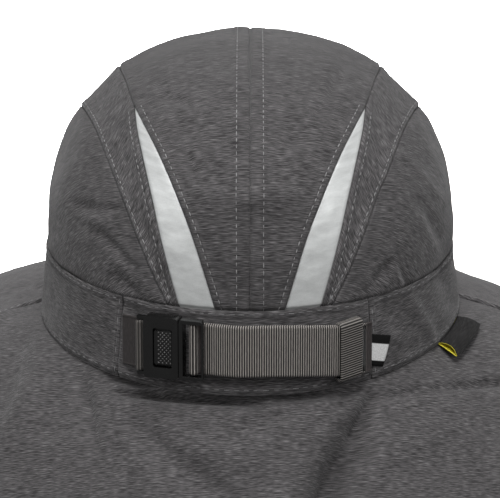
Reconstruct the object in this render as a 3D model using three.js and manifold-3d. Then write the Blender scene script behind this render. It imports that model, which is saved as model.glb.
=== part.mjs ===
// Rain hat seen from behind: a seamed crown over a band, a stiff brim round the front and sides,
// a cape that hangs over the neck, and a webbing strap with a buckle across the back of the band.
// Millimetres, +Z up, +Y is the way the wearer looks, +X is the wearer's right.
// The origin is the middle of the head opening, level with the bottom of the band at the back.
import * as THREE from 'three';
import { mergeVertices } from 'three/addons/utils/BufferGeometryUtils.js';
import Module from 'manifold-3d';

const wasm = await Module();
wasm.setup();

// Head opening and band
const rimHalfWidth = 87;
const rimHalfBack = 102.5;
const rimHalfFront = 106;
const rimRiseLeft = 2.7;
const rimRiseRight = 4.9;
const bandHeight = 32.5;
const bandFlareSide = 3;
const bandFlareBack = 4;
const bandWall = 2.5;
const bandSeamLeft = 51;
const bandSeamRight = 47;

// Crown
const crownRise = 83.5;
const crownRoundness = 2.43;
const crownWall = 1.5;

// Brim and cape
const brimFrontReach = 95;
const brimSideReach = 80;
const brimWall = 2.5;
const capeBackReach = 185;
const capeWall = 1.3;
const skirtTuck = 1.9;
const skirtSeamSetback = 12;
const foldDepth = 7;

// Strap and buckle
const seamGap = 0.3;
const webbingWidth = 20;
const webbing = 1;
const strapMidHeight = 18.4;
const strapDrop = 3.1;
const buckleCenterX = -27.9;
const buckleYaw = THREE.MathUtils.degToRad(17);
const buckleHeight = 24.6;
const buckleDepth = 6;
const socketLength = 14.1;
const insertLength = 10;
const buckleEdge = 1.6;
const barWidth = 1;
const socketWall = 1.2;
const windowLength = 7.8;
const windowHeight = 16;
const windowCorner = 1;
const keeperLength = 10.3;

// Label and tag
const tagLength = 8.5;
const tagHeight = 11.5;
const tagMidHeight = 10.2;
const tagWall = 1;
const labelOut = 10;
const labelWall = 1.4;
const labelRise = 2.5;
const labelFrom = THREE.MathUtils.degToRad(61);
const labelTo = THREE.MathUtils.degToRad(80);

// Crown seams, from the back (-1) over the top to the front (1). Each width is a share of the
// crown's half width, measured along the cloth: the centre panel's edge, the wedge's outer edge,
// which ends at the wedge's tip, and the gore's outer edge.
const crownSeams = [
  { run: -1.0, center: 0.163, wedge: 0.331, gore: 0.383 },
  { run: -0.9, center: 0.189, wedge: 0.340, gore: 0.415 },
  { run: -0.78, center: 0.218, wedge: 0.345, gore: 0.437 },
  { run: -0.65, center: 0.255, wedge: 0.346, gore: 0.454 },
  { run: -0.52, center: 0.293, wedge: 0.351, gore: 0.473 },
  { run: -0.4, center: 0.330, wedge: 0.357, gore: 0.490 },
  { run: -0.29, center: 0.359, wedge: 0.359, gore: 0.508 },
  { run: -0.12, center: 0.385, wedge: 0.385, gore: 0.543 },
  { run: 0.07, center: 0.413, wedge: 0.413, gore: 0.578 },
  { run: 0.3, center: 0.425, wedge: 0.425, gore: 0.590 },
  { run: 0.55, center: 0.408, wedge: 0.408, gore: 0.560 },
  { run: 0.8, center: 0.352, wedge: 0.352, gore: 0.488 },
  { run: 1.0, center: 0.300, wedge: 0.300, gore: 0.425 },
];

// Brim and cape by bearing in degrees from the back. Reach is the share of the way from the
// side's reach to the back's or the front's, and the slopes are degrees below level where the
// cloth starts and where it ends. The droop is what the right side's end slope has beyond that.
const skirtStations = [
  { bearing: 0, reach: 1.0, start: 56, end: 84, droop: 0 },
  { bearing: 30, reach: 0.92, start: 52, end: 82, droop: 0 },
  { bearing: 50, reach: 0.68, start: 43, end: 72, droop: 0 },
  { bearing: 68, reach: 0.32, start: 31, end: 58, droop: 0 },
  { bearing: 84, reach: 0.08, start: 20, end: 42, droop: 0 },
  { bearing: 96, reach: 0.0, start: 15, end: 33, droop: 0 },
  { bearing: 115, reach: 0.08, start: 11, end: 27, droop: 9 },
  { bearing: 145, reach: 0.55, start: 9, end: 25, droop: 17 },
  { bearing: 180, reach: 1.0, start: 8, end: 26, droop: 0 },
];

// Soft folds of the cape: where each starts and ends by bearing, how wide it is in degrees,
// and its height as a share of the fold depth, below zero for a valley.
const capeFolds = [
  { from: -72, to: -80, spread: 7, height: 0.6 },
  { from: -46, to: -58, spread: 8, height: -0.8 },
  { from: -24, to: -30, spread: 9, height: 0.7 },
  { from: -2, to: -8, spread: 8, height: -0.5 },
  { from: 12, to: 8, spread: 6, height: 0.5 },
  { from: 21, to: 22, spread: 5, height: -0.7 },
  { from: 38, to: 44, spread: 8, height: 0.8 },
  { from: 60, to: 70, spread: 8, height: -0.7 },
];

// What follows from the sizes
const halfTurn = Math.PI;
const rad = THREE.MathUtils.degToRad;
const topHalfWidth = rimHalfWidth - bandFlareSide;
const topHalfBack = rimHalfBack - bandFlareBack;
const topHalfFront = rimHalfFront - bandFlareBack;
const skirtSeamBearing = halfTurn / 2 + Math.asin(skirtSeamSetback / rimHalfFront);
const webbingPitch = webbing + seamGap;

// A smooth value between the rows of a table
function along(table, key, column, at) {
  const last = table.length - 1;
  let i = 0;
  while (i < last - 1 && at > table[i + 1][key]) i += 1;
  const a = table[i];
  const b = table[i + 1];
  const before = table[Math.max(i - 1, 0)];
  const after = table[Math.min(i + 2, last)];
  const span = b[key] - a[key];
  const t = Math.min(Math.max((at - a[key]) / span, 0), 1);
  const slopeA = i > 0
    ? (b[column] - before[column]) / (b[key] - before[key]) * span
    : b[column] - a[column];
  const slopeB = i < last - 1
    ? (after[column] - a[column]) / (after[key] - a[key]) * span
    : b[column] - a[column];
  const t2 = t * t;
  const t3 = t2 * t;
  return (2 * t3 - 3 * t2 + 1) * a[column] + (t3 - 2 * t2 + t) * slopeA
    + (3 * t2 - 2 * t3) * b[column] + (t3 - t2) * slopeB;
}

// The crown's section from the top pole down to the band, at even steps along the cloth
function crownSection() {
  const steps = 400;
  const points = [];
  let length = 0;
  for (let i = 0; i <= steps; i += 1) {
    const angle = (i / steps) * (halfTurn / 2);
    const width = Math.sin(angle) ** (2 / crownRoundness);
    const height = Math.max(Math.cos(angle), 0) ** (2 / crownRoundness);
    if (i > 0) {
      const previous = points[i - 1];
      length += Math.hypot((width - previous.width) * topHalfWidth, (height - previous.height) * crownRise);
    }
    points.push({ width, height, length });
  }
  return points;
}

const section = crownSection();
const crownCloth = section[section.length - 1].length;

// Width and height shares of the crown at a share of the way down from its pole
function crownAt(share) {
  if (share >= 1) return { width: 1, height: -((share - 1) * crownCloth) / crownRise };
  const target = share * crownCloth;
  let low = 0;
  let high = section.length - 1;
  while (high - low > 1) {
    const middle = (low + high) >> 1;
    if (section[middle].length < target) low = middle;
    else high = middle;
  }
  const a = section[low];
  const b = section[high];
  const t = (target - a.length) / (b.length - a.length);
  return { width: a.width + (b.width - a.width) * t, height: a.height + (b.height - a.height) * t };
}

// The crown as a round map: across and run are the shares from the pole to the band
function crownPoint(across, run) {
  const share = Math.hypot(across, run);
  const { width, height } = crownAt(share);
  const sine = share > 0 ? across / share : 0;
  const cosine = share > 0 ? -run / share : 1;
  const halfDepth = cosine > 0 ? topHalfBack : topHalfFront;
  return new THREE.Vector3(
    topHalfWidth * width * sine,
    -halfDepth * width * cosine,
    bandHeight + crownRise * height,
  );
}

// A point of the ring at a bearing from the back, for the rim or the band's top
function ringPoint(bearing, halfWidth, halfBack, halfFront, z) {
  const halfDepth = Math.cos(bearing) > 0 ? halfBack : halfFront;
  return new THREE.Vector3(halfWidth * Math.sin(bearing), -halfDepth * Math.cos(bearing), z);
}

function rimHeight(bearing) {
  const rise = Math.sin(bearing) > 0 ? rimRiseRight : rimRiseLeft;
  return rise * Math.sin(bearing) ** 2;
}

// The band's outer face, with up running from the rim (0) to the crown seam (1)
function bandPoint(bearing, up) {
  const rim = ringPoint(bearing, rimHalfWidth, rimHalfBack, rimHalfFront, rimHeight(bearing));
  const top = ringPoint(bearing, topHalfWidth, topHalfBack, topHalfFront, bandHeight);
  return rim.lerp(top, up);
}

// How far back the band's outer face lies at a place across the hat and a height
function bandBack(x, z) {
  const up = z / bandHeight;
  const halfWidth = rimHalfWidth + (topHalfWidth - rimHalfWidth) * up;
  const halfBack = rimHalfBack + (topHalfBack - rimHalfBack) * up;
  return -halfBack * Math.sqrt(1 - (x / halfWidth) ** 2);
}

// How long the brim or cape is at a bearing
function skirtReach(bearing) {
  const turned = Math.abs(bearing);
  const share = along(skirtStations, 'bearing', 'reach', THREE.MathUtils.radToDeg(turned));
  const far = turned < skirtSeamBearing ? capeBackReach : brimFrontReach;
  return brimSideReach + (far - brimSideReach) * Math.max(share, 0);
}

// The height of the cape's folds at a bearing and a share of its length
function foldHeight(bearing, share) {
  const degrees = THREE.MathUtils.radToDeg(bearing);
  let height = 0;
  for (const fold of capeFolds) {
    const middle = fold.from + (fold.to - fold.from) * share;
    height += fold.height * Math.exp(-(((degrees - middle) / fold.spread) ** 2));
  }
  return height * foldDepth * Math.max(share, 0) ** 1.2;
}

// The upper face of the brim and cape: bearing round the hat, and share of its length
function skirtPoint(bearing, share) {
  const steepening = (at) => Math.max(at, 0) ** 0.8;
  const turned = THREE.MathUtils.radToDeg(Math.abs(bearing));
  const start = rad(along(skirtStations, 'bearing', 'start', turned));
  const droop = bearing > 0 ? Math.max(along(skirtStations, 'bearing', 'droop', turned), 0) : 0;
  const end = rad(along(skirtStations, 'bearing', 'end', turned) + droop);
  const reach = skirtReach(bearing);
  const steps = 16;
  let out = -skirtTuck;
  let down = seamGap + (bandWall * bandFlareBack) / bandHeight;
  for (let i = 0; i < steps; i += 1) {
    const middle = ((i + 0.5) / steps) * share;
    const slope = start + (end - start) * steepening(middle);
    out += (Math.cos(slope) * reach * share) / steps;
    down += (Math.sin(slope) * reach * share) / steps;
  }
  const slope = start + (end - start) * steepening(share);
  const fold = foldHeight(bearing, share);
  out += fold * Math.sin(slope);
  down -= fold * Math.cos(slope);
  const rim = ringPoint(bearing, rimHalfWidth, rimHalfBack, rimHalfFront, rimHeight(bearing));
  return rim.add(new THREE.Vector3(out * Math.sin(bearing), -out * Math.cos(bearing), -down));
}

// The way a face of a two-way map looks, pointing away from the inside of the hat
function mapNormal(map, a, b, outward) {
  const step = 1e-3;
  const alongA = map(a + step, b).sub(map(a - step, b));
  const alongB = map(a, b + step).sub(map(a, b - step));
  const normal = alongA.cross(alongB).normalize();
  const here = map(a, b);
  return normal.dot(outward(here)) < 0 ? normal.negate() : normal;
}

const fromHeadMiddle = (point) => point.clone().sub(new THREE.Vector3(0, 0, bandHeight / 2));
const fromBelow = () => new THREE.Vector3(0, 0, 1);

// Swaps the corners of each triangle if the closed mesh is inside out, and sets its normals
function closed(positions, triangles) {
  const volume = triangles.reduce((sum, [a, b, c]) => {
    const pa = positions[a];
    const pb = positions[b];
    const pc = positions[c];
    return sum + pa.dot(pb.clone().cross(pc));
  }, 0);
  const index = triangles.flatMap(([a, b, c]) => (volume < 0 ? [a, c, b] : [a, b, c]));
  const geometry = new THREE.BufferGeometry();
  const places = positions.flatMap((point) => point.toArray());
  geometry.setAttribute('position', new THREE.Float32BufferAttribute(places, 3));
  geometry.setIndex(index);
  geometry.computeVertexNormals();
  return geometry;
}

// A closed sheet of cloth. place(u, v) names the map's coordinates, lift raises the outer face
// off the map, and the wall goes inwards from it. Corners where the grid's points meet are one
// point, and the triangles that vanish there are dropped.
function clothSheet({ map, place, acrossSteps, alongSteps, wall, lift = 0, outward }) {
  const positions = [];
  const known = new Map();
  const keep = (point) => {
    const key = point.toArray().map((value) => Math.round(value * 500)).join();
    if (!known.has(key)) {
      known.set(key, positions.length);
      positions.push(point);
    }
    return known.get(key);
  };
  const grid = { outer: [], inner: [] };
  for (let i = 0; i <= alongSteps; i += 1) {
    grid.outer.push([]);
    grid.inner.push([]);
    for (let j = 0; j <= acrossSteps; j += 1) {
      const [a, b] = place(i / alongSteps, j / acrossSteps);
      const normal = mapNormal(map, a, b, outward);
      const outer = map(a, b).addScaledVector(normal, lift);
      grid.outer[i].push(keep(outer));
      grid.inner[i].push(keep(outer.clone().addScaledVector(normal, -wall)));
    }
  }
  const triangles = [];
  const quad = (a, b, c, d) => {
    for (const triangle of [[a, b, c], [a, c, d]]) {
      if (new Set(triangle).size === 3) triangles.push(triangle);
    }
  };
  for (let i = 0; i < alongSteps; i += 1) {
    for (let j = 0; j < acrossSteps; j += 1) {
      quad(grid.outer[i][j], grid.outer[i + 1][j], grid.outer[i + 1][j + 1], grid.outer[i][j + 1]);
      quad(grid.inner[i][j], grid.inner[i][j + 1], grid.inner[i + 1][j + 1], grid.inner[i + 1][j]);
    }
    quad(grid.outer[i][0], grid.inner[i][0], grid.inner[i + 1][0], grid.outer[i + 1][0]);
    const j = acrossSteps;
    quad(grid.outer[i + 1][j], grid.inner[i + 1][j], grid.inner[i][j], grid.outer[i][j]);
  }
  for (let j = 0; j < acrossSteps; j += 1) {
    quad(grid.outer[0][j + 1], grid.inner[0][j + 1], grid.inner[0][j], grid.outer[0][j]);
    const i = alongSteps;
    quad(grid.outer[i][j], grid.inner[i][j], grid.inner[i][j + 1], grid.outer[i][j + 1]);
  }
  return closed(positions, triangles);
}

// Crown panels
const crownEdge = 1 - seamGap / crownCloth;
const seamInset = (seamGap / topHalfWidth) * 0.62;

function runLimit(across) {
  return Math.sqrt(crownEdge ** 2 - across ** 2);
}

const centerEdge = (run) => along(crownSeams, 'run', 'center', run);
const wedgeEdge = (run) => along(crownSeams, 'run', 'wedge', run);
const goreEdge = (run) => along(crownSeams, 'run', 'gore', run);

// A crown panel between two seams that run from back to front
function seamedPanel(side, innerSeam, outerSeam, runFrom, runTo, acrossSteps, alongSteps) {
  return clothSheet({
    map: crownPoint,
    place: (u, v) => {
      const run = runFrom + (runTo - runFrom) * u;
      const inner = innerSeam(run) + seamInset;
      const outer = Math.max(outerSeam(run) - seamInset, inner);
      const across = inner + (outer - inner) * v;
      return [side * across, run * runLimit(across)];
    },
    acrossSteps,
    alongSteps,
    wall: crownWall,
    outward: fromHeadMiddle,
  });
}

// Where the wedge's two seams have come so close that the wedge ends
function wedgeTip() {
  let low = -0.6;
  let high = -0.29;
  for (let i = 0; i < 40; i += 1) {
    const middle = (low + high) / 2;
    if (wedgeEdge(middle) - centerEdge(middle) > 2 * seamInset) low = middle;
    else high = middle;
  }
  return low;
}

// The side panel between the gore's outer seam and the band, with a corner at the back and front
function sidePanel(side) {
  const seam = (run) => {
    const across = goreEdge(run) + seamInset;
    return [across, run * Math.sqrt(1 - across ** 2)];
  };
  const corner = (sign) => {
    let low = 0.5;
    let high = 1;
    for (let i = 0; i < 40; i += 1) {
      const middle = (low + high) / 2;
      if (Math.hypot(...seam(sign * middle)) < crownEdge) low = middle;
      else high = middle;
    }
    return sign * low;
  };
  const runFrom = corner(-1);
  const runTo = corner(1);
  const bearing = (run) => Math.atan2(...seam(run));
  return clothSheet({
    map: crownPoint,
    place: (u, v) => {
      const eased = (1 - Math.cos(u * halfTurn)) / 2;
      const spread = u * 0.4 + eased * 0.6;
      const run = runFrom + (runTo - runFrom) * spread;
      const [across, down] = seam(run);
      const turn = bearing(runFrom) + (bearing(runTo) - bearing(runFrom)) * spread;
      const edgeAcross = crownEdge * Math.sin(turn);
      const edgeDown = crownEdge * Math.cos(turn);
      return [side * (across + (edgeAcross - across) * v), down + (edgeDown - down) * v];
    },
    acrossSteps: 7,
    alongSteps: 20,
    wall: crownWall,
    outward: fromHeadMiddle,
  });
}

// Band and skirt between two bearings
function bandSheet(from, to, steps) {
  const inset = seamGap / 2 / topHalfWidth;
  const top = 1 - seamGap / 2 / bandHeight;
  return clothSheet({
    map: bandPoint,
    place: (u, v) => [from + inset + (to - from - 2 * inset) * u, top * v],
    acrossSteps: 3,
    alongSteps: steps,
    wall: bandWall,
    outward: fromHeadMiddle,
  });
}

function skirtSheet(from, to, steps, rows, wall) {
  const inset = seamGap / 2 / (rimHalfWidth - skirtTuck);
  return clothSheet({
    map: (bearing, share) => skirtPoint(bearing > halfTurn ? bearing - 2 * halfTurn : bearing, share),
    place: (u, v) => [from + inset + (to - from - 2 * inset) * u, v ** 1.3],
    acrossSteps: rows,
    alongSteps: steps,
    wall,
    outward: fromBelow,
  });
}

// Webbing as a ribbon of even thickness along a path in plan, standing upright
function webbingRibbon(path) {
  const left = [];
  const right = [];
  path.forEach((point, i) => {
    const before = path[Math.max(i - 1, 0)];
    const after = path[Math.min(i + 1, path.length - 1)];
    const direction = after.clone().sub(before).normalize();
    const sideways = new THREE.Vector2(-direction.y, direction.x).multiplyScalar(webbing / 2);
    left.push(point.clone().add(sideways));
    right.push(point.clone().sub(sideways));
  });
  const shape = new THREE.Shape([...left, ...right.reverse()]);
  const geometry = new THREE.ExtrudeGeometry(shape, { depth: webbingWidth, bevelEnabled: false });
  return geometry.translate(0, 0, -webbingWidth / 2);
}

// A smooth path in plan through a few points
function smoothPath(points, steps) {
  const flat = points.map((point) => new THREE.Vector3(point.x, point.y, 0));
  const curve = new THREE.CatmullRomCurve3(flat, false, 'centripetal');
  return curve.getSpacedPoints(steps).map((p) => new THREE.Vector2(p.x, p.y));
}

// The strap drops a little towards the right
const strapStartX = buckleCenterX + insertLength;
const strapEndX = bandSeamRight - seamGap - webbing / 2;
const keeperEndX = strapEndX - 2.6;
const dropSlope = strapDrop / (keeperEndX - strapStartX);
const strapMid = (x) => strapMidHeight - dropSlope * (x - strapStartX);

function letDrop(geometry) {
  const position = geometry.attributes.position;
  for (let i = 0; i < position.count; i += 1) {
    position.setZ(i, position.getZ(i) + strapMid(position.getX(i)));
  }
  geometry.computeVertexNormals();
  return geometry;
}

// The buckle's own frame: x along the strap, y towards the band, z up, middle of its back face
const buckleBottom = strapMidHeight - buckleHeight / 2;
const socketFromX = -(socketLength + insertLength) / 2 - seamGap / 2;
const socketToX = socketFromX + socketLength;
const insertFromX = socketToX + seamGap;
const insertToX = insertFromX + insertLength;
const buckleCornerX = buckleCenterX + socketToX * Math.cos(buckleYaw);
const buckleBackY = bandBack(buckleCornerX, buckleBottom) - 2 * seamGap + socketToX * Math.sin(buckleYaw);

function fromBuckle(x, y) {
  return new THREE.Vector2(
    buckleCenterX + x * Math.cos(buckleYaw) + y * Math.sin(buckleYaw),
    buckleBackY - x * Math.sin(buckleYaw) + y * Math.cos(buckleYaw),
  );
}

const wrapRadius = barWidth / 2 + seamGap + webbing / 2;
const insertOpeningFrom = insertFromX + buckleEdge;
const insertOpeningTo = insertToX - buckleEdge / 2;
const insertBarX = (insertOpeningFrom + insertOpeningTo) / 2 - seamGap;
const railDepth = 1.3;
const insertBarY = -buckleDepth + railDepth + seamGap + webbing / 2;
const socketBarX = socketFromX - seamGap - webbing / 2 - wrapRadius;
const socketBarY = -buckleDepth * 0.6;

// Points round a bar, in the buckle's frame, from one angle to another
function roundBar(x, y, from, to, steps) {
  const points = [];
  for (let i = 0; i <= steps; i += 1) {
    const angle = rad(from + ((to - from) * i) / steps);
    points.push(fromBuckle(x + wrapRadius * Math.cos(angle), y + wrapRadius * Math.sin(angle)));
  }
  return points;
}

// Stand-off of the strap's front layer from the band, at its lower edge: the keeper fits behind it
const keeperInsideDepth = webbing + webbingPitch + 4 * seamGap;
const keeperStand = keeperInsideDepth / 2 + webbing + webbingPitch / 2 + 3 * seamGap;
const strapBow = 1.4;

function strapFront(x) {
  const share = (x - strapStartX) / (keeperEndX - strapStartX);
  const stand = keeperStand + strapBow * (1 - share ** 2);
  return new THREE.Vector2(x, bandBack(x, strapMid(x) - webbingWidth / 2) - stand);
}

// The second layer lies one webbing pitch nearer the band
function strapBack(x) {
  const front = strapFront(x);
  const slope = strapFront(x + 0.5).sub(strapFront(x - 0.5)).normalize();
  return front.add(new THREE.Vector2(-slope.y, slope.x).multiplyScalar(webbingPitch));
}

function strapShape() {
  const span = keeperEndX - strapStartX;
  const stations = [0.22, 0.4, 0.58, 0.76, 0.88, 1].map((share) => strapStartX + span * share);
  const exit = insertToX + 0.4;
  const front = [strapFront(strapEndX - 0.8), ...stations.map((x) => strapFront(x)).reverse()];
  const endY = bandBack(strapEndX, strapMid(strapEndX) - webbingWidth / 2) - webbing / 2 - 3 * seamGap;
  const back = [...stations.map((x) => strapBack(x)), new THREE.Vector2(strapEndX, endY)];
  const entry = fromBuckle(insertBarX + 2.2 * wrapRadius, insertBarY);
  const underBar = fromBuckle(insertBarX + 0.8 * wrapRadius, insertBarY + wrapRadius);
  const pathSteps = 22;
  const frontPath = smoothPath([...front, fromBuckle(exit, insertBarY), entry], pathSteps);
  const backPath = smoothPath([underBar, fromBuckle(exit, insertBarY + wrapRadius), ...back], pathSteps);
  const loop = roundBar(insertBarX, insertBarY, -28, -268, 9);
  return letDrop(webbingRibbon([...frontPath, ...loop, ...backPath]));
}

// The anchor loops round the socket's bar and ends on the band beside the left seam
function anchorShape() {
  const seamX = -bandSeamLeft + seamGap + webbing;
  const seamY = bandBack(seamX, strapMidHeight - webbingWidth / 2) - seamGap - webbing;
  const foot = new THREE.Vector2(seamX, seamY);
  const bar = fromBuckle(socketBarX, socketBarY);
  const direction = foot.clone().sub(bar).normalize();
  const sideways = new THREE.Vector2(-direction.y, direction.x);
  const turn = THREE.MathUtils.radToDeg(Math.atan2(sideways.y, sideways.x));
  const loop = [];
  for (let i = 0; i <= 10; i += 1) {
    const angle = rad(turn + 18 * i);
    loop.push(new THREE.Vector2(bar.x + wrapRadius * Math.cos(angle), bar.y + wrapRadius * Math.sin(angle)));
  }
  const end = direction.clone().multiplyScalar(-webbingPitch);
  const half = webbingPitch / 2;
  const outerFoot = foot.clone().addScaledVector(sideways, half).add(end);
  const innerFoot = foot.clone().addScaledVector(sideways, -half).add(end);
  const ribbon = webbingRibbon([outerFoot, ...loop, innerFoot]);
  return ribbon.translate(0, 0, strapMidHeight);
}

// The keeper is a flat ring round both layers of the strap
function keeperShape() {
  const middleX = keeperEndX - keeperLength * 0.42;
  const slope = strapFront(middleX + 1).sub(strapFront(middleX - 1));
  const yaw = Math.atan2(slope.y, slope.x);
  const insideHeight = webbingWidth + 2 * seamGap + keeperLength * dropSlope;
  const rectangle = (width, height, radius) => {
    const path = new THREE.Path();
    const w = width / 2;
    const h = height / 2;
    path.moveTo(-w + radius, -h);
    path.lineTo(w - radius, -h);
    path.absarc(w - radius, -h + radius, radius, -halfTurn / 2, 0);
    path.absarc(w - radius, h - radius, radius, 0, halfTurn / 2);
    path.absarc(-w + radius, h - radius, radius, halfTurn / 2, halfTurn);
    path.absarc(-w + radius, -h + radius, radius, halfTurn, 1.5 * halfTurn);
    return path.getPoints(3);
  };
  const outsideDepth = keeperInsideDepth + 2 * webbing;
  const shape = new THREE.Shape(rectangle(outsideDepth, insideHeight + 2 * webbing, webbing + 0.6));
  shape.holes.push(new THREE.Path(rectangle(keeperInsideDepth, insideHeight, 0.6)));
  const ring = new THREE.ExtrudeGeometry(shape, { depth: keeperLength, bevelEnabled: false });
  ring.translate(0, 0, -keeperLength / 2);
  ring.rotateX(halfTurn / 2);
  ring.rotateZ(halfTurn / 2);
  ring.rotateZ(yaw);
  const center = strapFront(middleX);
  const inwards = new THREE.Vector2(-slope.y, slope.x).normalize().multiplyScalar(webbingPitch / 2);
  return ring.translate(center.x + inwards.x, center.y + inwards.y, strapMid(middleX));
}

// Solids for the buckle
function solidOf(geometry) {
  const bare = geometry.index ? geometry.toNonIndexed() : geometry.clone();
  bare.deleteAttribute('normal');
  bare.deleteAttribute('uv');
  const merged = mergeVertices(bare, 1e-4);
  return new wasm.Manifold(new wasm.Mesh({
    numProp: 3,
    vertProperties: merged.attributes.position.array,
    triVerts: new Uint32Array(merged.index.array),
  }));
}

function geometryOf(solid) {
  const mesh = solid.getMesh();
  const geometry = new THREE.BufferGeometry();
  geometry.setAttribute('position', new THREE.BufferAttribute(new Float32Array(mesh.vertProperties), 3));
  geometry.setIndex(new THREE.BufferAttribute(new Uint32Array(mesh.triVerts), 1));
  geometry.computeVertexNormals();
  return geometry;
}

// A block between two corners, in the buckle's frame
function block([x0, x1], [y0, y1], [z0, z1]) {
  const box = new THREE.BoxGeometry(x1 - x0, y1 - y0, z1 - z0);
  return solidOf(box.translate((x0 + x1) / 2, (y0 + y1) / 2, (z0 + z1) / 2));
}

// A round bar for webbing, upright in the buckle's frame
function barSolid(x, y) {
  const bar = new THREE.CylinderGeometry(barWidth / 2, barWidth / 2, 2 * barHalf + 1, 8);
  bar.rotateX(halfTurn / 2);
  return solidOf(bar.translate(x, y, 0));
}

// A plate with round corners, seen from the front, between two depths
function roundPlate([x0, x1], [y0, y1], halfHeight, radius) {
  const shape = new THREE.Shape();
  shape.moveTo(x0 + radius, -halfHeight);
  shape.lineTo(x1 - radius, -halfHeight);
  shape.absarc(x1 - radius, -halfHeight + radius, radius, -halfTurn / 2, 0);
  shape.absarc(x1 - radius, halfHeight - radius, radius, 0, halfTurn / 2);
  shape.absarc(x0 + radius, halfHeight - radius, radius, halfTurn / 2, halfTurn);
  shape.absarc(x0 + radius, -halfHeight + radius, radius, halfTurn, 1.5 * halfTurn);
  const plate = new THREE.ExtrudeGeometry(shape, { depth: y1 - y0, bevelEnabled: false, curveSegments: 4 });
  plate.rotateX(halfTurn / 2);
  return solidOf(plate.translate(0, y1, 0));
}

const buckleHalf = buckleHeight / 2;
const cavityFromX = socketFromX + 2.6;
const cavityHalf = buckleHalf - 2.6;
const windowFromX = cavityFromX + 1.3;
const windowToX = windowFromX + windowLength;
const barHalf = webbingWidth / 2 + 2 * seamGap;

function socketSolid() {
  const front = -buckleDepth;
  const back = 0;
  let socket = roundPlate([socketFromX, socketToX], [front, back], buckleHalf, 1.4);
  const cavity = block(
    [cavityFromX, socketToX + 1],
    [front + socketWall, back - socketWall],
    [-cavityHalf, cavityHalf],
  );
  const window = roundPlate(
    [windowFromX, windowToX],
    [front - 1, front + 2 * socketWall],
    windowHeight / 2,
    windowCorner,
  );
  socket = socket.subtract(cavity).subtract(window).add(barSolid(socketBarX, socketBarY));
  for (const side of [-1, 1]) {
    const heights = [side * barHalf, side * (barHalf + 1.3)].sort((a, b) => a - b);
    const lengths = [socketBarX - barWidth, socketFromX + 1.5];
    socket = socket.add(block(lengths, [socketBarY - 1, socketBarY + 1], heights));
  }
  return socket;
}

function insertSolid() {
  const front = -buckleDepth;
  const tongueFront = front + socketWall + seamGap;
  const tongueBack = -socketWall - seamGap;
  let insert = roundPlate([insertFromX, insertToX], [front, front + railDepth], buckleHalf - 0.2, 1.2);
  insert = insert.subtract(block([insertOpeningFrom, insertOpeningTo], [front - 1, 0], [-barHalf, barHalf]));
  for (const side of [-1, 1]) {
    const heights = [side * barHalf, side * (barHalf + buckleEdge)].sort((a, b) => a - b);
    const rail = block([insertFromX + 0.6, insertToX - 0.8], [front + 0.4, insertBarY + barWidth], heights);
    insert = insert.add(rail);
  }
  const root = block([insertFromX, insertOpeningFrom], [front + 0.5, tongueBack], [-barHalf, barHalf]);
  const tongueHalf = cavityHalf - seamGap;
  const tongue = block(
    [cavityFromX + seamGap, insertFromX + 0.5],
    [tongueFront, tongueBack],
    [-tongueHalf, tongueHalf],
  );
  const pad = roundPlate(
    [windowFromX + seamGap, windowToX - seamGap],
    [front + socketWall / 2, tongueFront + 0.5],
    windowHeight / 2 - seamGap,
    windowCorner - seamGap,
  );
  return insert.add(barSolid(insertBarX, insertBarY)).add(root).add(tongue).add(pad);
}

function inBucklePlace(solid) {
  const geometry = geometryOf(solid);
  geometry.rotateZ(-buckleYaw);
  return geometry.translate(buckleCenterX, buckleBackY, strapMidHeight);
}

// The tag lies on the band, and the label on the cape
function tagShape() {
  const fromBearing = Math.asin((bandSeamRight + seamGap) / rimHalfWidth);
  const toBearing = Math.asin((bandSeamRight + seamGap + tagLength) / rimHalfWidth);
  const low = (tagMidHeight - tagHeight / 2) / bandHeight;
  const high = (tagMidHeight + tagHeight / 2) / bandHeight;
  return clothSheet({
    map: bandPoint,
    place: (u, v) => [fromBearing + (toBearing - fromBearing) * u, low + (high - low) * v],
    acrossSteps: 1,
    alongSteps: 3,
    wall: tagWall,
    lift: tagWall + seamGap,
    outward: fromHeadMiddle,
  });
}

function labelShape() {
  const bearingMiddle = (labelFrom + labelTo) / 2;
  const start = (skirtTuck + 2 * seamGap) / skirtReach(bearingMiddle);
  const end = start + labelOut / skirtReach(bearingMiddle);
  const raised = (bearing, share) => {
    const rise = (labelRise * (share - start)) / (end - start);
    return skirtPoint(bearing, share).add(new THREE.Vector3(0, 0, rise));
  };
  return clothSheet({
    map: raised,
    place: (u, v) => [labelFrom + (labelTo - labelFrom) * u, start + (end - start) * v],
    acrossSteps: 2,
    alongSteps: 5,
    wall: labelWall,
    lift: labelWall + seamGap,
    outward: fromBelow,
  });
}

// Finishes
const cloth = new THREE.MeshStandardMaterial({ color: 0x545354, roughness: 0.85 });
const bandCloth = new THREE.MeshStandardMaterial({ color: 0x484748, roughness: 0.85 });
const reflective = new THREE.MeshStandardMaterial({ color: 0xc2c4c3, roughness: 0.45 });
const webbingCloth = new THREE.MeshStandardMaterial({ color: 0x544f4c, roughness: 0.7 });
const plastic = new THREE.MeshStandardMaterial({ color: 0x1f1e1e, roughness: 0.5 });
const tagCloth = new THREE.MeshStandardMaterial({ color: 0xb4b4b2, roughness: 0.8 });
const labelCloth = new THREE.MeshStandardMaterial({ color: 0x2c2c2d, roughness: 0.75 });

const hat = new THREE.Group();

function place(name, geometry, material) {
  const mesh = new THREE.Mesh(geometry, material);
  mesh.name = name;
  hat.add(mesh);
}

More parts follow.
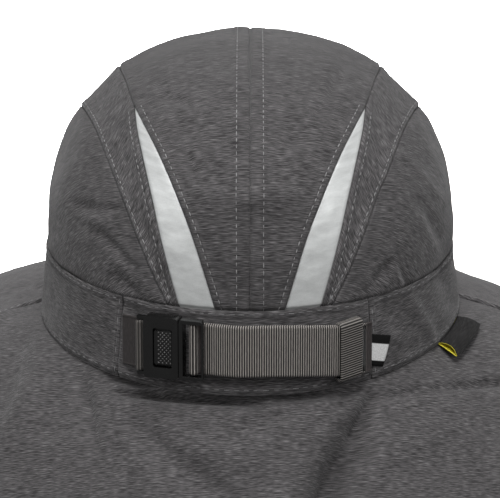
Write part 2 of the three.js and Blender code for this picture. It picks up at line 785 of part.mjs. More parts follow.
const tipRun = wedgeTip();
const centerSeam = () => 0;
const sides = [{ word: 'left', side: -1 }, { word: 'right', side: 1 }];
for (const { word, side } of sides) {
  place(`crown_center_${word}`, seamedPanel(side, centerSeam, centerEdge, -1, 1, 4, 26), cloth);
  place(`reflective_wedge_${word}`, seamedPanel(side, centerEdge, wedgeEdge, -1, tipRun, 2, 12), reflective);
  place(`crown_gore_${word}`, seamedPanel(side, wedgeEdge, goreEdge, -1, 1, 3, 26), cloth);
  place(`crown_side_${word}`, sidePanel(side), cloth);
}

const leftSeamBearing = -Math.asin(bandSeamLeft / rimHalfWidth);
const rightSeamBearing = Math.asin(bandSeamRight / rimHalfWidth);
place('band_back', bandSheet(leftSeamBearing, rightSeamBearing, 14), bandCloth);
place('band_sides', bandSheet(rightSeamBearing, 2 * halfTurn + leftSeamBearing, 44), bandCloth);
place('brim', skirtSheet(skirtSeamBearing, 2 * halfTurn - skirtSeamBearing, 26, 5, brimWall), cloth);
place('neck_cape', skirtSheet(-skirtSeamBearing, skirtSeamBearing, 52, 12, capeWall), cloth);
place('strap', strapShape(), webbingCloth);
place('strap_anchor', anchorShape(), webbingCloth);
place('strap_keeper', keeperShape(), webbingCloth);
place('buckle_socket', inBucklePlace(socketSolid()), plastic);
place('buckle_insert', inBucklePlace(insertSolid()), plastic);
place('seam_tag', tagShape(), tagCloth);
place('side_label', labelShape(), labelCloth);

export default hat;
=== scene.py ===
"""The looks of a rain hat seen from behind.

Crown panels of heathered cloth are sewn with topstitched seams round two reflective wedges. A
band carries a webbing strap with its buckle, and below it are a stiff brim and a soft cape.
The hat's maps are in millimetres, as the CAD model's are. A mesh gets its points in metres.
"""
import math
from collections import namedtuple

import bmesh
import bpy
import numpy as np
from mathutils import Matrix, Vector


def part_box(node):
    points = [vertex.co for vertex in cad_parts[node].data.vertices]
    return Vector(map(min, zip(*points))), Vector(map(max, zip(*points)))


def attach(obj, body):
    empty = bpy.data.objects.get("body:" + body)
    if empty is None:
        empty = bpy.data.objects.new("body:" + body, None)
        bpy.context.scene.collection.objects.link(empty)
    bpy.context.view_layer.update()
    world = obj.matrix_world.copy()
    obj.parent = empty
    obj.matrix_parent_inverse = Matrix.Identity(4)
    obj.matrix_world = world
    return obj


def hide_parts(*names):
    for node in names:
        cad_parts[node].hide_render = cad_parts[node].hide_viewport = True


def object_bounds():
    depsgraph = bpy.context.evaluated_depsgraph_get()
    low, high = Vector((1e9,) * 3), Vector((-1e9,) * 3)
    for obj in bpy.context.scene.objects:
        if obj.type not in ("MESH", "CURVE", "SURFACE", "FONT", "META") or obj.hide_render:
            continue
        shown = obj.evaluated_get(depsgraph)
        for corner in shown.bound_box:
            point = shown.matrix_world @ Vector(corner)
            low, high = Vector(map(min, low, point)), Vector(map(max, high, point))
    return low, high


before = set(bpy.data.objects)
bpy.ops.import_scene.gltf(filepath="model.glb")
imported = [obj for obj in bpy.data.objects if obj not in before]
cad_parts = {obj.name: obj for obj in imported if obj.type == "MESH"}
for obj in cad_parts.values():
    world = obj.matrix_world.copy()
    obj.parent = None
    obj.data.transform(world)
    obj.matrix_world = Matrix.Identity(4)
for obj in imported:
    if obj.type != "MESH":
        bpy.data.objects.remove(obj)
cad_bounds = [list(corner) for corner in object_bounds()]

MM = 0.001
UV_UNIT = 100.0


def reach(node, axis, end):
    """A CAD node's lowest (0) or highest (1) place on an axis, in millimetres."""
    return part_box(node)[end][axis] / MM


# Camera, behind the hat and a little above it
VIEW_ANGLE = math.radians(17)
AIM = np.array([0.0, 0.0, 27.5])
CAMERA_DISTANCE = 1300.0
LENS = 224.9
SENSOR = 36.0
PICTURE_WIDTH = 500
PICTURE_HEIGHT = 498
LOOK = np.array([0.0, math.cos(VIEW_ANGLE), -math.sin(VIEW_ANGLE)])
UPWARD = np.array([0.0, math.sin(VIEW_ANGLE), math.cos(VIEW_ANGLE)])
CAMERA_PLACE = AIM - CAMERA_DISTANCE * LOOK


def set_camera():
    lens = bpy.data.cameras.new("camera")
    lens.lens = LENS
    lens.sensor_width = SENSOR
    camera = bpy.data.objects.new("camera", lens)
    camera.location = Vector(CAMERA_PLACE * MM)
    camera.rotation_euler = (math.pi / 2 - VIEW_ANGLE, 0, 0)
    bpy.context.scene.collection.objects.link(camera)
    bpy.context.scene.camera = camera


def picture_place(points):
    """Where points show in the picture, across from its left and down from its top."""
    offset = points - CAMERA_PLACE
    scale = PICTURE_WIDTH * LENS / SENSOR / (offset @ LOOK)
    return (PICTURE_WIDTH / 2 + offset[..., 0] * scale,
            PICTURE_HEIGHT / 2 - (offset @ UPWARD) * scale)


set_camera()

# Sizes that the CAD model gives
SEAM_GAP = 0.3
RIM_HALF_WIDTH = -reach("band_sides", 0, 0)
RIM_HALF_BACK = -reach("band_back", 1, 0)
RIM_HALF_FRONT = reach("band_sides", 1, 1)
TOP_HALF_WIDTH = reach("crown_side_right", 0, 1)
TOP_HALF_BACK = -reach("crown_center_left", 1, 0)
TOP_HALF_FRONT = reach("crown_center_left", 1, 1)
BAND_HEIGHT = reach("crown_center_left", 2, 0) - SEAM_GAP
CROWN_RISE = reach("crown_center_left", 2, 1) - BAND_HEIGHT

# Sizes that its boxes don't tell, the same as its own or fitted a little closer to the picture
RIM_RISE_LEFT = 2.7
RIM_RISE_RIGHT = 4.9
CROWN_ROUNDNESS = 2.43
CROWN_WALL = 1.5
BAND_WALL = 2.5
BAND_SEAM_LEFT = 52.1
BAND_SEAM_RIGHT = 48.1
BRIM_FRONT_REACH = 95.0
BRIM_SIDE_REACH = 80.0
BRIM_WALL = 2.5
CAPE_BACK_REACH = 185.0
CAPE_WALL = 1.3
SKIRT_TUCK = 1.9
SKIRT_DROP = SEAM_GAP + BAND_WALL * (RIM_HALF_BACK - TOP_HALF_BACK) / BAND_HEIGHT
SKIRT_SEAM_FORWARD = 12.0
SKIRT_SEAM = math.pi / 2 + math.asin(SKIRT_SEAM_FORWARD / RIM_HALF_FRONT)
FOLD_DEPTH = 7.0
WEBBING_WIDTH = 20.6
WEBBING = 1.0
WEBBING_PITCH = WEBBING + SEAM_GAP
WEBBING_RIB = 0.94
TAG_LENGTH = 8.5
TAG_HEIGHT = 11.8
TAG_MID_HEIGHT = 10.2
TAG_BEFORE_SEAM = 3.3
LABEL_FROM = math.radians(61)
LABEL_TO = math.radians(80)
LABEL_OUT = 10.0
LABEL_RISE = 2.5

# Crown seams from the back (-1) over the top to the front (1), as shares of the half width
SEAM_COLUMNS = ("run", "center", "wedge", "gore")
CROWN_SEAMS = np.array([
    (-1.0, 0.163, 0.331, 0.383),
    (-0.9, 0.189, 0.340, 0.415),
    (-0.78, 0.218, 0.345, 0.437),
    (-0.65, 0.255, 0.346, 0.454),
    (-0.52, 0.293, 0.351, 0.473),
    (-0.4, 0.330, 0.357, 0.490),
    (-0.29, 0.359, 0.359, 0.508),
    (-0.12, 0.385, 0.385, 0.543),
    (0.07, 0.413, 0.413, 0.578),
    (0.3, 0.425, 0.425, 0.590),
    (0.55, 0.408, 0.408, 0.560),
    (0.8, 0.352, 0.352, 0.488),
    (1.0, 0.300, 0.300, 0.425),
])
WEDGE_TIP = -0.29

# Brim and cape by bearing in degrees from the back: share of the reach, slopes below level where
# the cloth starts and ends, and what the right side's end slope has beyond that
SKIRT_COLUMNS = ("bearing", "reach", "start", "end", "droop")
SKIRT_STATIONS = np.array([
    (0, 1.0, 56, 84, 0),
    (30, 0.92, 52, 82, 0),
    (50, 0.68, 43, 72, 0),
    (68, 0.32, 31, 58, 0),
    (84, 0.08, 20, 42, 0),
    (96, 0.0, 15, 33, 0),
    (115, 0.08, 11, 27, 9),
    (145, 0.55, 9, 25, 17),
    (180, 1.0, 8, 26, 0),
], float)

# Soft folds of the cape: bearing where each starts and ends, spread in degrees, share of depth
Fold = namedtuple("Fold", "start end spread height")
CAPE_FOLDS = (
    Fold(-72, -80, 7, 0.6),
    Fold(-46, -58, 8, -0.8),
    Fold(-24, -30, 9, 0.7),
    Fold(-2, -8, 8, -0.5),
    Fold(12, 8, 6, 0.5),
    Fold(21, 22, 5, -0.7),
    Fold(38, 44, 8, 0.8),
    Fold(60, 70, 8, -0.7),
)

# Creases that show from behind, by their ends in the picture, with their width and height
Crease = namedtuple("Crease", "x0 y0 x1 y1 width height")
CROWN_CREASES = (
    Crease(195, 197, 305, 197, 5.0, 2.0),
    Crease(75, 203, 97, 210, 1.8, -1.8),
    Crease(103, 209, 121, 209, 1.8, -1.2),
    Crease(84, 215, 102, 225, 2.2, 1.0),
    Crease(97, 231, 120, 254, 2.2, -2.0),
    Crease(120, 254, 136, 270, 1.8, -1.2),
    Crease(117, 276, 141, 300, 2.2, -1.8),
    Crease(62, 272, 84, 284, 1.8, -1.0),
    Crease(143, 224, 149, 246, 1.8, -1.0),
    Crease(165, 97, 196, 106, 2.0, -1.8),
    Crease(185, 155, 195, 176, 2.0, -2.1),
    Crease(210, 147, 228, 136, 2.4, -1.9),
    Crease(283, 142, 303, 140, 3.2, -2.5),
    Crease(345, 64, 331, 98, 2.0, -2.1),
    Crease(316, 112, 328, 110, 2.0, -1.8),
    Crease(385, 186, 382, 224, 2.4, -1.5),
    Crease(410, 160, 440, 200, 1.6, 0.8),
    Crease(424, 204, 440, 240, 2.6, -1.8),
    Crease(388, 250, 404, 290, 1.8, 1.2),
    Crease(392, 262, 369, 291, 2.2, -1.8),
    Crease(394, 262, 412, 290, 2.0, -1.2),
)
BAND_CREASES = (
    Crease(120, 300, 140, 318, 2.5, -1.3),
    Crease(300, 309, 330, 316, 2.5, -0.9),
    Crease(375, 300, 402, 320, 5.0, -1.1),
    Crease(405, 290, 437, 345, 2.2, 1.3),
    Crease(440, 262, 448, 300, 2.5, -1.1),
)
BRIM_CREASES = (
    Crease(46, 272, 0, 295, 1.3, -3.6),
    Crease(46, 283, 8, 299, 1.5, 3.2),
    Crease(47, 288, 22, 290, 1.3, -3.0),
    Crease(24, 290, 0, 303, 1.3, -3.0),
)
CAPE_CREASES = (
    Crease(112, 374, 156, 390, 3.0, -4.6),
    Crease(118, 384, 200, 394, 2.0, 2.4),
    Crease(119, 393, 262, 404, 1.8, -7.2),
    Crease(262, 400, 362, 390, 2.2, -3.4),
    Crease(374, 396, 356, 440, 3.2, -7.0),
    Crease(357, 438, 315, 545, 7.4, -15.0),
    Crease(218, 440, 262, 424, 4.0, -1.8),
    Crease(262, 424, 300, 412, 4.0, -1.6),
    Crease(136, 424, 165, 455, 5.0, -2.6),
    Crease(165, 455, 240, 510, 6.0, -3.6),
    Crease(80, 376, 94, 446, 2.6, -2.8),
    Crease(48, 345, 14, 430, 8.0, 3.2),
    Crease(16, 350, -12, 430, 8.0, -2.4),
    Crease(540, 377, 440, 388, 1.7, -3.6),
    Crease(440, 388, 375, 397, 1.5, -2.2),
)


def column(table, names, name):
    return table[:, names.index(name)]


def along(places, values, at):
    """A smooth value between the rows of a table, for an array of places."""
    slopes = np.gradient(values, places)
    slopes[1:-1] = (values[2:] - values[:-2]) / (places[2:] - places[:-2])
    i = np.clip(np.searchsorted(places, at, side="right") - 1, 0, len(places) - 2)
    span = places[i + 1] - places[i]
    t = np.clip((at - places[i]) / span, 0, 1)
    rise = values[i + 1] - values[i]
    smooth = t * t * (3 - 2 * t)
    return (values[i] + rise * smooth
            + (t**3 - 2 * t**2 + t) * slopes[i] * span + (t**3 - t**2) * slopes[i + 1] * span)


def seam(name):
    return lambda run: along(column(CROWN_SEAMS, SEAM_COLUMNS, "run"),
                             column(CROWN_SEAMS, SEAM_COLUMNS, name), run)


def center_line(run):
    return np.zeros_like(run)


# The crown's section from its pole to the band, by length along the cloth
turn = np.linspace(0, math.pi / 2, 401)
section_width = np.sin(turn) ** (2 / CROWN_ROUNDNESS)
section_height = np.clip(np.cos(turn), 0, 1) ** (2 / CROWN_ROUNDNESS)
steps = np.hypot(np.diff(section_width) * TOP_HALF_WIDTH, np.diff(section_height) * CROWN_RISE)
section_length = np.concatenate([[0], np.cumsum(steps)])
CROWN_CLOTH = section_length[-1]


def crown_point(across, run):
    """The crown as a round map: across and run are the shares from the pole to the band."""
    share = np.hypot(across, run)
    length = np.minimum(share, 1) * CROWN_CLOTH
    width = np.interp(length, section_length, section_width)
    height = np.interp(length, section_length, section_height)
    sine = np.where(share > 0, across / np.maximum(share, 1e-9), 0)
    cosine = np.where(share > 0, -run / np.maximum(share, 1e-9), 1)
    half_depth = np.where(cosine > 0, TOP_HALF_BACK, TOP_HALF_FRONT)
    below = np.maximum(share - 1, 0) * CROWN_CLOTH
    return np.stack([TOP_HALF_WIDTH * width * sine,
                     -half_depth * width * cosine,
                     BAND_HEIGHT + CROWN_RISE * height - below], axis=-1)


def ring_point(bearing, half_width, half_back, half_front, z):
    half_depth = np.where(np.cos(bearing) > 0, half_back, half_front)
    return np.stack([half_width * np.sin(bearing), -half_depth * np.cos(bearing),
                     z + 0 * bearing], axis=-1)


def rim_point(bearing):
    rise = np.where(np.sin(bearing) > 0, RIM_RISE_RIGHT, RIM_RISE_LEFT)
    return ring_point(bearing, RIM_HALF_WIDTH, RIM_HALF_BACK, RIM_HALF_FRONT,
                      rise * np.sin(bearing) ** 2)


def band_point(bearing, up):
    rim = rim_point(bearing)
    top = ring_point(bearing, TOP_HALF_WIDTH, TOP_HALF_BACK, TOP_HALF_FRONT, BAND_HEIGHT)
    return rim + (top - rim) * up[..., None]


def band_back(x, z):
    """How far back the band's outer face lies at a place across the hat and a height."""
    up = z / BAND_HEIGHT
    half_width = RIM_HALF_WIDTH + (TOP_HALF_WIDTH - RIM_HALF_WIDTH) * up
    half_back = RIM_HALF_BACK + (TOP_HALF_BACK - RIM_HALF_BACK) * up
    return -half_back * np.sqrt(1 - (x / half_width) ** 2)


def skirt_station(name, bearing):
    degrees = np.abs(np.degrees(bearing))
    return along(column(SKIRT_STATIONS, SKIRT_COLUMNS, "bearing"),
                 column(SKIRT_STATIONS, SKIRT_COLUMNS, name), degrees)


def skirt_reach(bearing):
    far = np.where(np.abs(bearing) < SKIRT_SEAM, CAPE_BACK_REACH, BRIM_FRONT_REACH)
    share = np.maximum(skirt_station("reach", bearing), 0)
    return BRIM_SIDE_REACH + (far - BRIM_SIDE_REACH) * share


def fold_height(bearing, share):
    degrees = np.degrees(bearing)
    height = np.zeros_like(degrees)
    for fold in CAPE_FOLDS:
        middle = fold.start + (fold.end - fold.start) * share
        height += fold.height * np.exp(-(((degrees - middle) / fold.spread) ** 2))
    return height * FOLD_DEPTH * share**1.2


def skirt_point(bearing, share):
    """The upper face of the brim and cape: bearing round the hat, and share of its length."""
    bearing = np.where(bearing > math.pi, bearing - 2 * math.pi, bearing)
    start = np.radians(skirt_station("start", bearing))
    droop = np.where(bearing > 0, np.maximum(skirt_station("droop", bearing), 0), 0)
    end = np.radians(skirt_station("end", bearing) + droop)
    step = skirt_reach(bearing) * share / 16
    out = -SKIRT_TUCK + 0 * step
    down = SKIRT_DROP + 0 * step
    for i in range(16):
        slope = start + (end - start) * ((i + 0.5) / 16 * share) ** 0.8
        out += np.cos(slope) * step
        down += np.sin(slope) * step
    slope = start + (end - start) * share**0.8
    fold = fold_height(bearing, share)
    out += fold * np.sin(slope)
    down -= fold * np.cos(slope)
    return rim_point(bearing) + np.stack([out * np.sin(bearing), -out * np.cos(bearing), -down],
                                         axis=-1)


# Cloth surfaces

def smooth_step(value):
    value = np.clip(value, 0, 1)
    return value * value * (3 - 2 * value)


def ripple(points, length, seed):
    """Soft unevenness of about one millimetre's height at most, at a length between its waves."""
    chance = np.random.default_rng(seed)
    height = 0
    for _ in range(7):
        way = chance.normal(size=3)
        way /= np.linalg.norm(way)
        wave = length * chance.uniform(0.7, 1.5)
        height = height + np.sin(points @ way * 2 * math.pi / wave + chance.uniform(0, 6.28))
    return height / 3.5


def crease_height(points, normals, creases):
    """Height of the creases, on the side that the picture shows."""
    across, down = picture_place(points)
    facing = smooth_step(-(normals @ LOOK) * 4)
    scale = PICTURE_WIDTH * LENS / SENSOR / CAMERA_DISTANCE
    height = np.zeros(points.shape[:2])
    for crease in creases:
        run, fall = crease.x1 - crease.x0, crease.y1 - crease.y0
        share = ((across - crease.x0) * run + (down - crease.y0) * fall) / (run**2 + fall**2)
        share = np.clip(share, 0, 1)
        off = np.hypot(across - crease.x0 - share * run, down - crease.y0 - share * fall) / scale
        taper = 0.45 + 0.55 * np.sin(math.pi * share)
        height += crease.height * taper * np.exp(-((off / crease.width) ** 2))
    return height * facing


# How an edge is sewn: how deep it rolls into the seam, how far the folded allowance under it
# reaches, how high that lifts the cloth, where its rows of stitches lie from the seam, how far the
# cloth goes on under its neighbour beyond the seam, and the share of the edge that is stitched
Edge = namedtuple("Edge", "roll fold lift rows tuck until", defaults=((), 0.0, 1.0))
RAW = Edge(0.0, 0.0, 0.0)
TURNED_IN = Edge(0.75, 0.0, 0.0)
UNDER_BAND = Edge(0.8, 0.0, 0.0, (), 1.5)
ROLL_WIDTH = 0.6
TUCK_SLOPE = 0.3
FOLD_STEP = 1.4
GROOVE_DEPTH = 0.32
GROOVE_WIDTH = 0.5
PUCKER_HEIGHT = 0.09
PUCKER_WIDTH = 2.4


def edge_height(edge, distance, place, seed):
    """Height of the cloth by an edge, at a distance from it and a place along it."""
    distance = distance - edge.tuck
    height = -edge.roll * np.exp(-((np.maximum(distance, 0) / ROLL_WIDTH) ** 2))
    height += TUCK_SLOPE * np.minimum(distance, 0)
    if edge.fold:
        height += edge.lift * (1 - smooth_step((distance - edge.fold) / FOLD_STEP + 0.5))
    chance = np.random.default_rng(seed)
    for row in edge.rows:
        off = distance - row
        height -= GROOVE_DEPTH * np.exp(-((off / GROOVE_WIDTH) ** 2))
        pucker = np.sin(place * 0.93 + chance.uniform(0, 6)) + np.sin(place * 1.53 + 2)
        height += PUCKER_HEIGHT * pucker * np.exp(-((off / PUCKER_WIDTH) ** 2))
    return height


# The steps of a grid along a length of cloth: fine ones near both its ends, coarse ones between
Steps = namedtuple("Steps", "length fine near coarse")


def shares(steps):
    """Where a grid's lines lie, as shares of its length."""
    ends = np.arange(0, steps.near, steps.fine)
    count = max(int((steps.length - 2 * steps.near) / steps.coarse), 1)
    middle = np.linspace(steps.near, steps.length - steps.near, count + 1)
    return np.concatenate([ends, middle, steps.length - ends[::-1]]) / steps.length


def lengths(points, axis):
    """Distance along the cloth from a grid's first line, along one of its axes."""
    steps = np.linalg.norm(np.diff(points, axis=axis), axis=-1)
    start = np.zeros_like(np.take(steps, [0], axis=axis))
    return np.concatenate([start, np.cumsum(steps, axis=axis)], axis=axis)


def grid_normals(points, outward):
    normals = np.cross(np.gradient(points, axis=0), np.gradient(points, axis=1))
    size = np.linalg.norm(normals, axis=-1, keepdims=True)
    normals = normals / np.maximum(size, 1e-12)
    for end, beside in ((0, 1), (-1, -2)):
        if size[end].min() < 1e-6 * size.max():
            normals[end] = normals[beside]
    turned = np.sum(normals * outward) < 0
    return (-normals if turned else normals), turned


def head_outward(points):
    return points - np.array([0, 0, BAND_HEIGHT / 2])


def up_outward(points):
    return np.array([0.0, 0.0, 1.0])


def sheet_object(name, points, uvs, wall, finishes, turned=False, rim_finish=0, under_finish=0):
    """A sheet from a grid of points in millimetres, with its wall behind it."""
    rows, columns = points.shape[:2]
    mesh = bmesh.new()
    layer = mesh.loops.layers.uv.new("cloth")
    bmesh.ops.create_grid(mesh, x_segments=rows - 1, y_segments=columns - 1, size=1)
    for vert in mesh.verts:
        i = round((vert.co.x + 1) / 2 * (rows - 1))
        j = round((vert.co.y + 1) / 2 * (columns - 1))
        vert.co = points[i, j] * MM
        for loop in vert.link_loops:
            loop[layer].uv = uvs[i, j] / UV_UNIT
    bmesh.ops.remove_doubles(mesh, verts=mesh.verts, dist=2e-6)
    if turned:
        bmesh.ops.reverse_faces(mesh, faces=mesh.faces)
    return mesh_object(name, mesh, finishes, wall, rim_finish, under_finish)


def mesh_object(name, mesh, finishes, wall=0, rim_finish=0, under_finish=0):
    for face in mesh.faces:
        face.smooth = True
    data = bpy.data.meshes.new(name)
    mesh.to_mesh(data)
    mesh.free()
    made = bpy.data.objects.new(name, data)
    bpy.context.scene.collection.objects.link(made)
    for finish in finishes:
        data.materials.append(finish)
    if wall:
        thick = made.modifiers.new("wall", "SOLIDIFY")
        thick.thickness = wall * MM
        thick.offset = -1
        thick.material_offset = under_finish
        thick.material_offset_rim = rim_finish
    return made


def keep(piece, slot, *nodes):
    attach(piece, "root")
    if nodes:
        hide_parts(*nodes)
    return piece


# A sewn cut of cloth as a grid of points, with the distances across it and along it
Cloth = namedtuple("Cloth", "piece points normals across along uvs")
stitch_lines = {"crown": [], "band": [], "skirt": []}


def stitch_line(cloth, side, distance, last):
    """A line at a distance from a cloth's side at v 0 or 1, with its normals, up to a last row."""
    off = cloth.across if side == 0 else cloth.across[:, -1:] - cloth.across
    order = slice(None) if side == 0 else slice(None, None, -1)
    line = []
    for points, normals, row in zip(cloth.points[:last], cloth.normals[:last], off[:last]):
        if row.max() < distance * 1.3:
            continue
        at = [np.interp(distance, row[order], points[order, k]) for k in range(3)]
        up = [np.interp(distance, row[order], normals[order, k]) for k in range(3)]
        line.append(at + up)
    return np.array(line)


def add_stitch_lines(lines, cloth, sides, ends, u, v):
    """Adds a line for the stitches of each edge that has any, in the last of its rows."""
    turned = cloth._replace(points=cloth.points.transpose(1, 0, 2),
                            normals=cloth.normals.transpose(1, 0, 2),
                            across=cloth.along.T, along=cloth.across.T)
    for cut, edges, places in ((cloth, sides, u), (turned, ends, v)):
        for side, edge in enumerate(edges):
            if edge.rows:
                last = np.searchsorted(places, edge.until, side="right")
                lines.append(stitch_line(cut, side, edge.rows[-1] + edge.tuck, last))


def sewn_cloth(name, surface, place, run, width, outward, wall, finish, slot, sides, ends,
               uv_map, stitched, creases=(), sink=0.0, belly=0.0, wave=0.45, seed=1):
    """One cut of cloth on a surface. sides are its edges at v 0 and 1, ends those at u 0 and 1.

    stitched names the set of stitches that its rows belong to."""
    u, v = shares(run), shares(width)
    grid_u, grid_v = np.meshgrid(u, v, indexing="ij")
    base = surface(*place(grid_u, grid_v))
    normals, turned = grid_normals(base, outward(base))
    across = lengths(base, 1)
    down = lengths(base, 0)
    whole = across[:, -1:]
    length = down[-1:, :]
    height = edge_height(sides[0], across, down, seed)
    height += edge_height(sides[1], whole - across, down, seed + 1)
    height += edge_height(ends[0], down, across, seed + 2)
    height += edge_height(ends[1], length - down, across, seed + 3)
    height += crease_height(base, normals, creases)
    inside = smooth_step(np.minimum(across, whole - across) / 6)
    height += (sink + belly * np.sin(math.pi * across / np.maximum(whole, 1e-6))
               + wave * ripple(base, 34, seed) * (0.35 + 0.65 * inside)
               + 0.2 * ripple(base, 13, seed + 7) * inside)
    points = base + normals * height[..., None]
    uvs = uv_map(grid_u, grid_v, across, down)
    piece = keep(sheet_object(f"{name}_sewn", points, uvs, wall, [finish], turned), slot, name)
    cloth = Cloth(piece, points, normals, across, down, uvs)
    add_stitch_lines(stitch_lines[stitched], cloth, sides, ends, u, v)
    return cloth


def turned_uv(across, up, degrees):
    """Cloth coordinates with the weft at an angle."""
    angle = math.radians(degrees)
    return np.stack([across * math.cos(angle) + up * math.sin(angle),
                     up * math.cos(angle) - across * math.sin(angle)], axis=-1)


# Finishes

def add(tree, kind, inputs=None, **settings):
    """A node with its settings. An input is a value or the output of another node."""
    made = tree.nodes.new(kind)
    for key, value in settings.items():
        setattr(made, key, value)
    for key, value in (inputs or {}).items():
        if isinstance(value, bpy.types.NodeSocket):
            tree.links.new(value, made.inputs[key])
        else:
            made.inputs[key].default_value = value
    return made


def new_finish(name, **values):
    finish = bpy.data.materials.new(name)
    finish.use_nodes = True
    tree = finish.node_tree
    shader = tree.nodes["Principled BSDF"]
    for key, value in values.items():
        shader.inputs[key.replace("_", " ")].default_value = value
    return finish, tree, shader


def calculate(tree, operation, a, b=0.0, c=0.0):
    return add(tree, "ShaderNodeMath", {0: a, 1: b, 2: c}, operation=operation).outputs[0]


def cloth_noise(tree, where, length, width, detail=2.0, roughness=0.55, offset=0.0):
    """Noise on the cloth's own coordinates, with its grain's length and width in millimetres."""
    mapped = add(tree, "ShaderNodeMapping", {
        "Vector": where,
        "Location": (offset, offset * 0.7, 0),
        "Scale": (UV_UNIT / length, UV_UNIT / width, 1),
    })
    return add(tree, "ShaderNodeTexNoise", {
        "Vector": mapped.outputs[0],
        "Scale": 1.0,
        "Detail": detail,
        "Roughness": roughness,
    }).outputs["Fac"]


def colour_ramp(tree, factor, stops):
    ramp = add(tree, "ShaderNodeValToRGB", {"Fac": factor})
    elements = ramp.color_ramp.elements
    while len(elements) < len(stops):
        elements.new(0.5)
    for element, (place, colour) in zip(elements, stops):
        element.position = place
        element.color = (*colour, 1)
    return ramp.outputs[0]


def heather_cloth(name, tone, sheen=0.18, darker_below=0.0, even=0.14):
    """Heathered cloth: pale and dark fibres in short streaks along the weft, over a fine weave.

    Up to a wavy line at a given height from its lower edge, it is a little darker. A
    larger even brings the tones of its fibres closer together."""
    finish, tree, shader = new_finish(name, Roughness=0.85, Sheen_Weight=sheen,
                                      Sheen_Roughness=0.45, Specular_IOR_Level=0.2)
    where = add(tree, "ShaderNodeUVMap", uv_map="cloth").outputs[0]
    streaks = cloth_noise(tree, where, 9.0, 0.23, 2.0, 0.55)
    flecks = cloth_noise(tree, where, 3.6, 0.2, 1.0, 0.5, 3.1)
    mottle = cloth_noise(tree, where, 26.0, 6.0, 3.0, 0.6, 7.7)
    mixed = calculate(tree, "MULTIPLY_ADD", streaks, 0.43,
                      calculate(tree, "MULTIPLY_ADD", flecks, 0.5,
                                calculate(tree, "MULTIPLY", mottle, 0.07)))
    low = tuple(tone * part for part in (0.15, 0.142, 0.147))
    middle = tuple(tone * part for part in (0.85, 0.81, 0.83))
    high = tuple(tone * part for part in (2.7, 2.58, 2.63))
    shade = colour_ramp(tree, mixed, [(0.5 - even, low), (0.5, middle), (0.5 + even, high)])
    if darker_below:
        # A little darker below a wavy line near the given height
        up = add(tree, "ShaderNodeSeparateXYZ", {0: where}).outputs["Y"]
        wander = cloth_noise(tree, where, 26.0, 26.0, 1.0, 0.5, 5.0)
        place = calculate(tree, "MULTIPLY_ADD", wander, 7.0,
                          calculate(tree, "MULTIPLY", up, UV_UNIT))
        layer = add(tree, "ShaderNodeMapRange", {
            "Value": place, "From Min": darker_below + 2.0, "From Max": darker_below + 5.0,
            "To Min": 0.92, "To Max": 1.0}).outputs[0]
        shade = add(tree, "ShaderNodeVectorMath", {0: shade, "Scale": layer},
                    operation="SCALE").outputs["Vector"]
    tree.links.new(shade, shader.inputs["Base Color"])
    warp = add(tree, "ShaderNodeTexWave", {"Vector": where, "Scale": 62.0, "Distortion": 1.2},
               wave_type="BANDS", bands_direction="X").outputs["Fac"]
    weft = add(tree, "ShaderNodeTexWave", {"Vector": where, "Scale": 70.0, "Distortion": 0.8},
               wave_type="BANDS", bands_direction="Y").outputs["Fac"]
    relief = calculate(tree, "MULTIPLY_ADD", warp, weft, calculate(tree, "MULTIPLY", streaks, 1.2))
    bump = add(tree, "ShaderNodeBump", {"Height": relief, "Strength": 0.55, "Distance": 0.00012})
    tree.links.new(bump.outputs[0], shader.inputs["Normal"])
    return finish


def reflective_film(name):
    """Retroreflective film: an even pale grey with fine beads and faint rubbed marks."""
    finish, tree, shader = new_finish(name, Roughness=0.42, Metallic=0.15)
    where = add(tree, "ShaderNodeUVMap", uv_map="cloth").outputs[0]
    marks = cloth_noise(tree, where, 9.0, 4.0, 3.0, 0.6)
    beads = cloth_noise(tree, where, 0.35, 0.35, 1.0, 0.5, 2.0)
    mixed = calculate(tree, "MULTIPLY_ADD", marks, 0.7, calculate(tree, "MULTIPLY", beads, 0.3))
    shade = colour_ramp(tree, mixed, [(0.3, (0.44, 0.45, 0.447)), (0.7, (0.66, 0.675, 0.67))])
    tree.links.new(shade, shader.inputs["Base Color"])
    bump = add(tree, "ShaderNodeBump", {"Height": mixed, "Strength": 0.3, "Distance": 0.00007})
    tree.links.new(bump.outputs[0], shader.inputs["Normal"])
    return finish


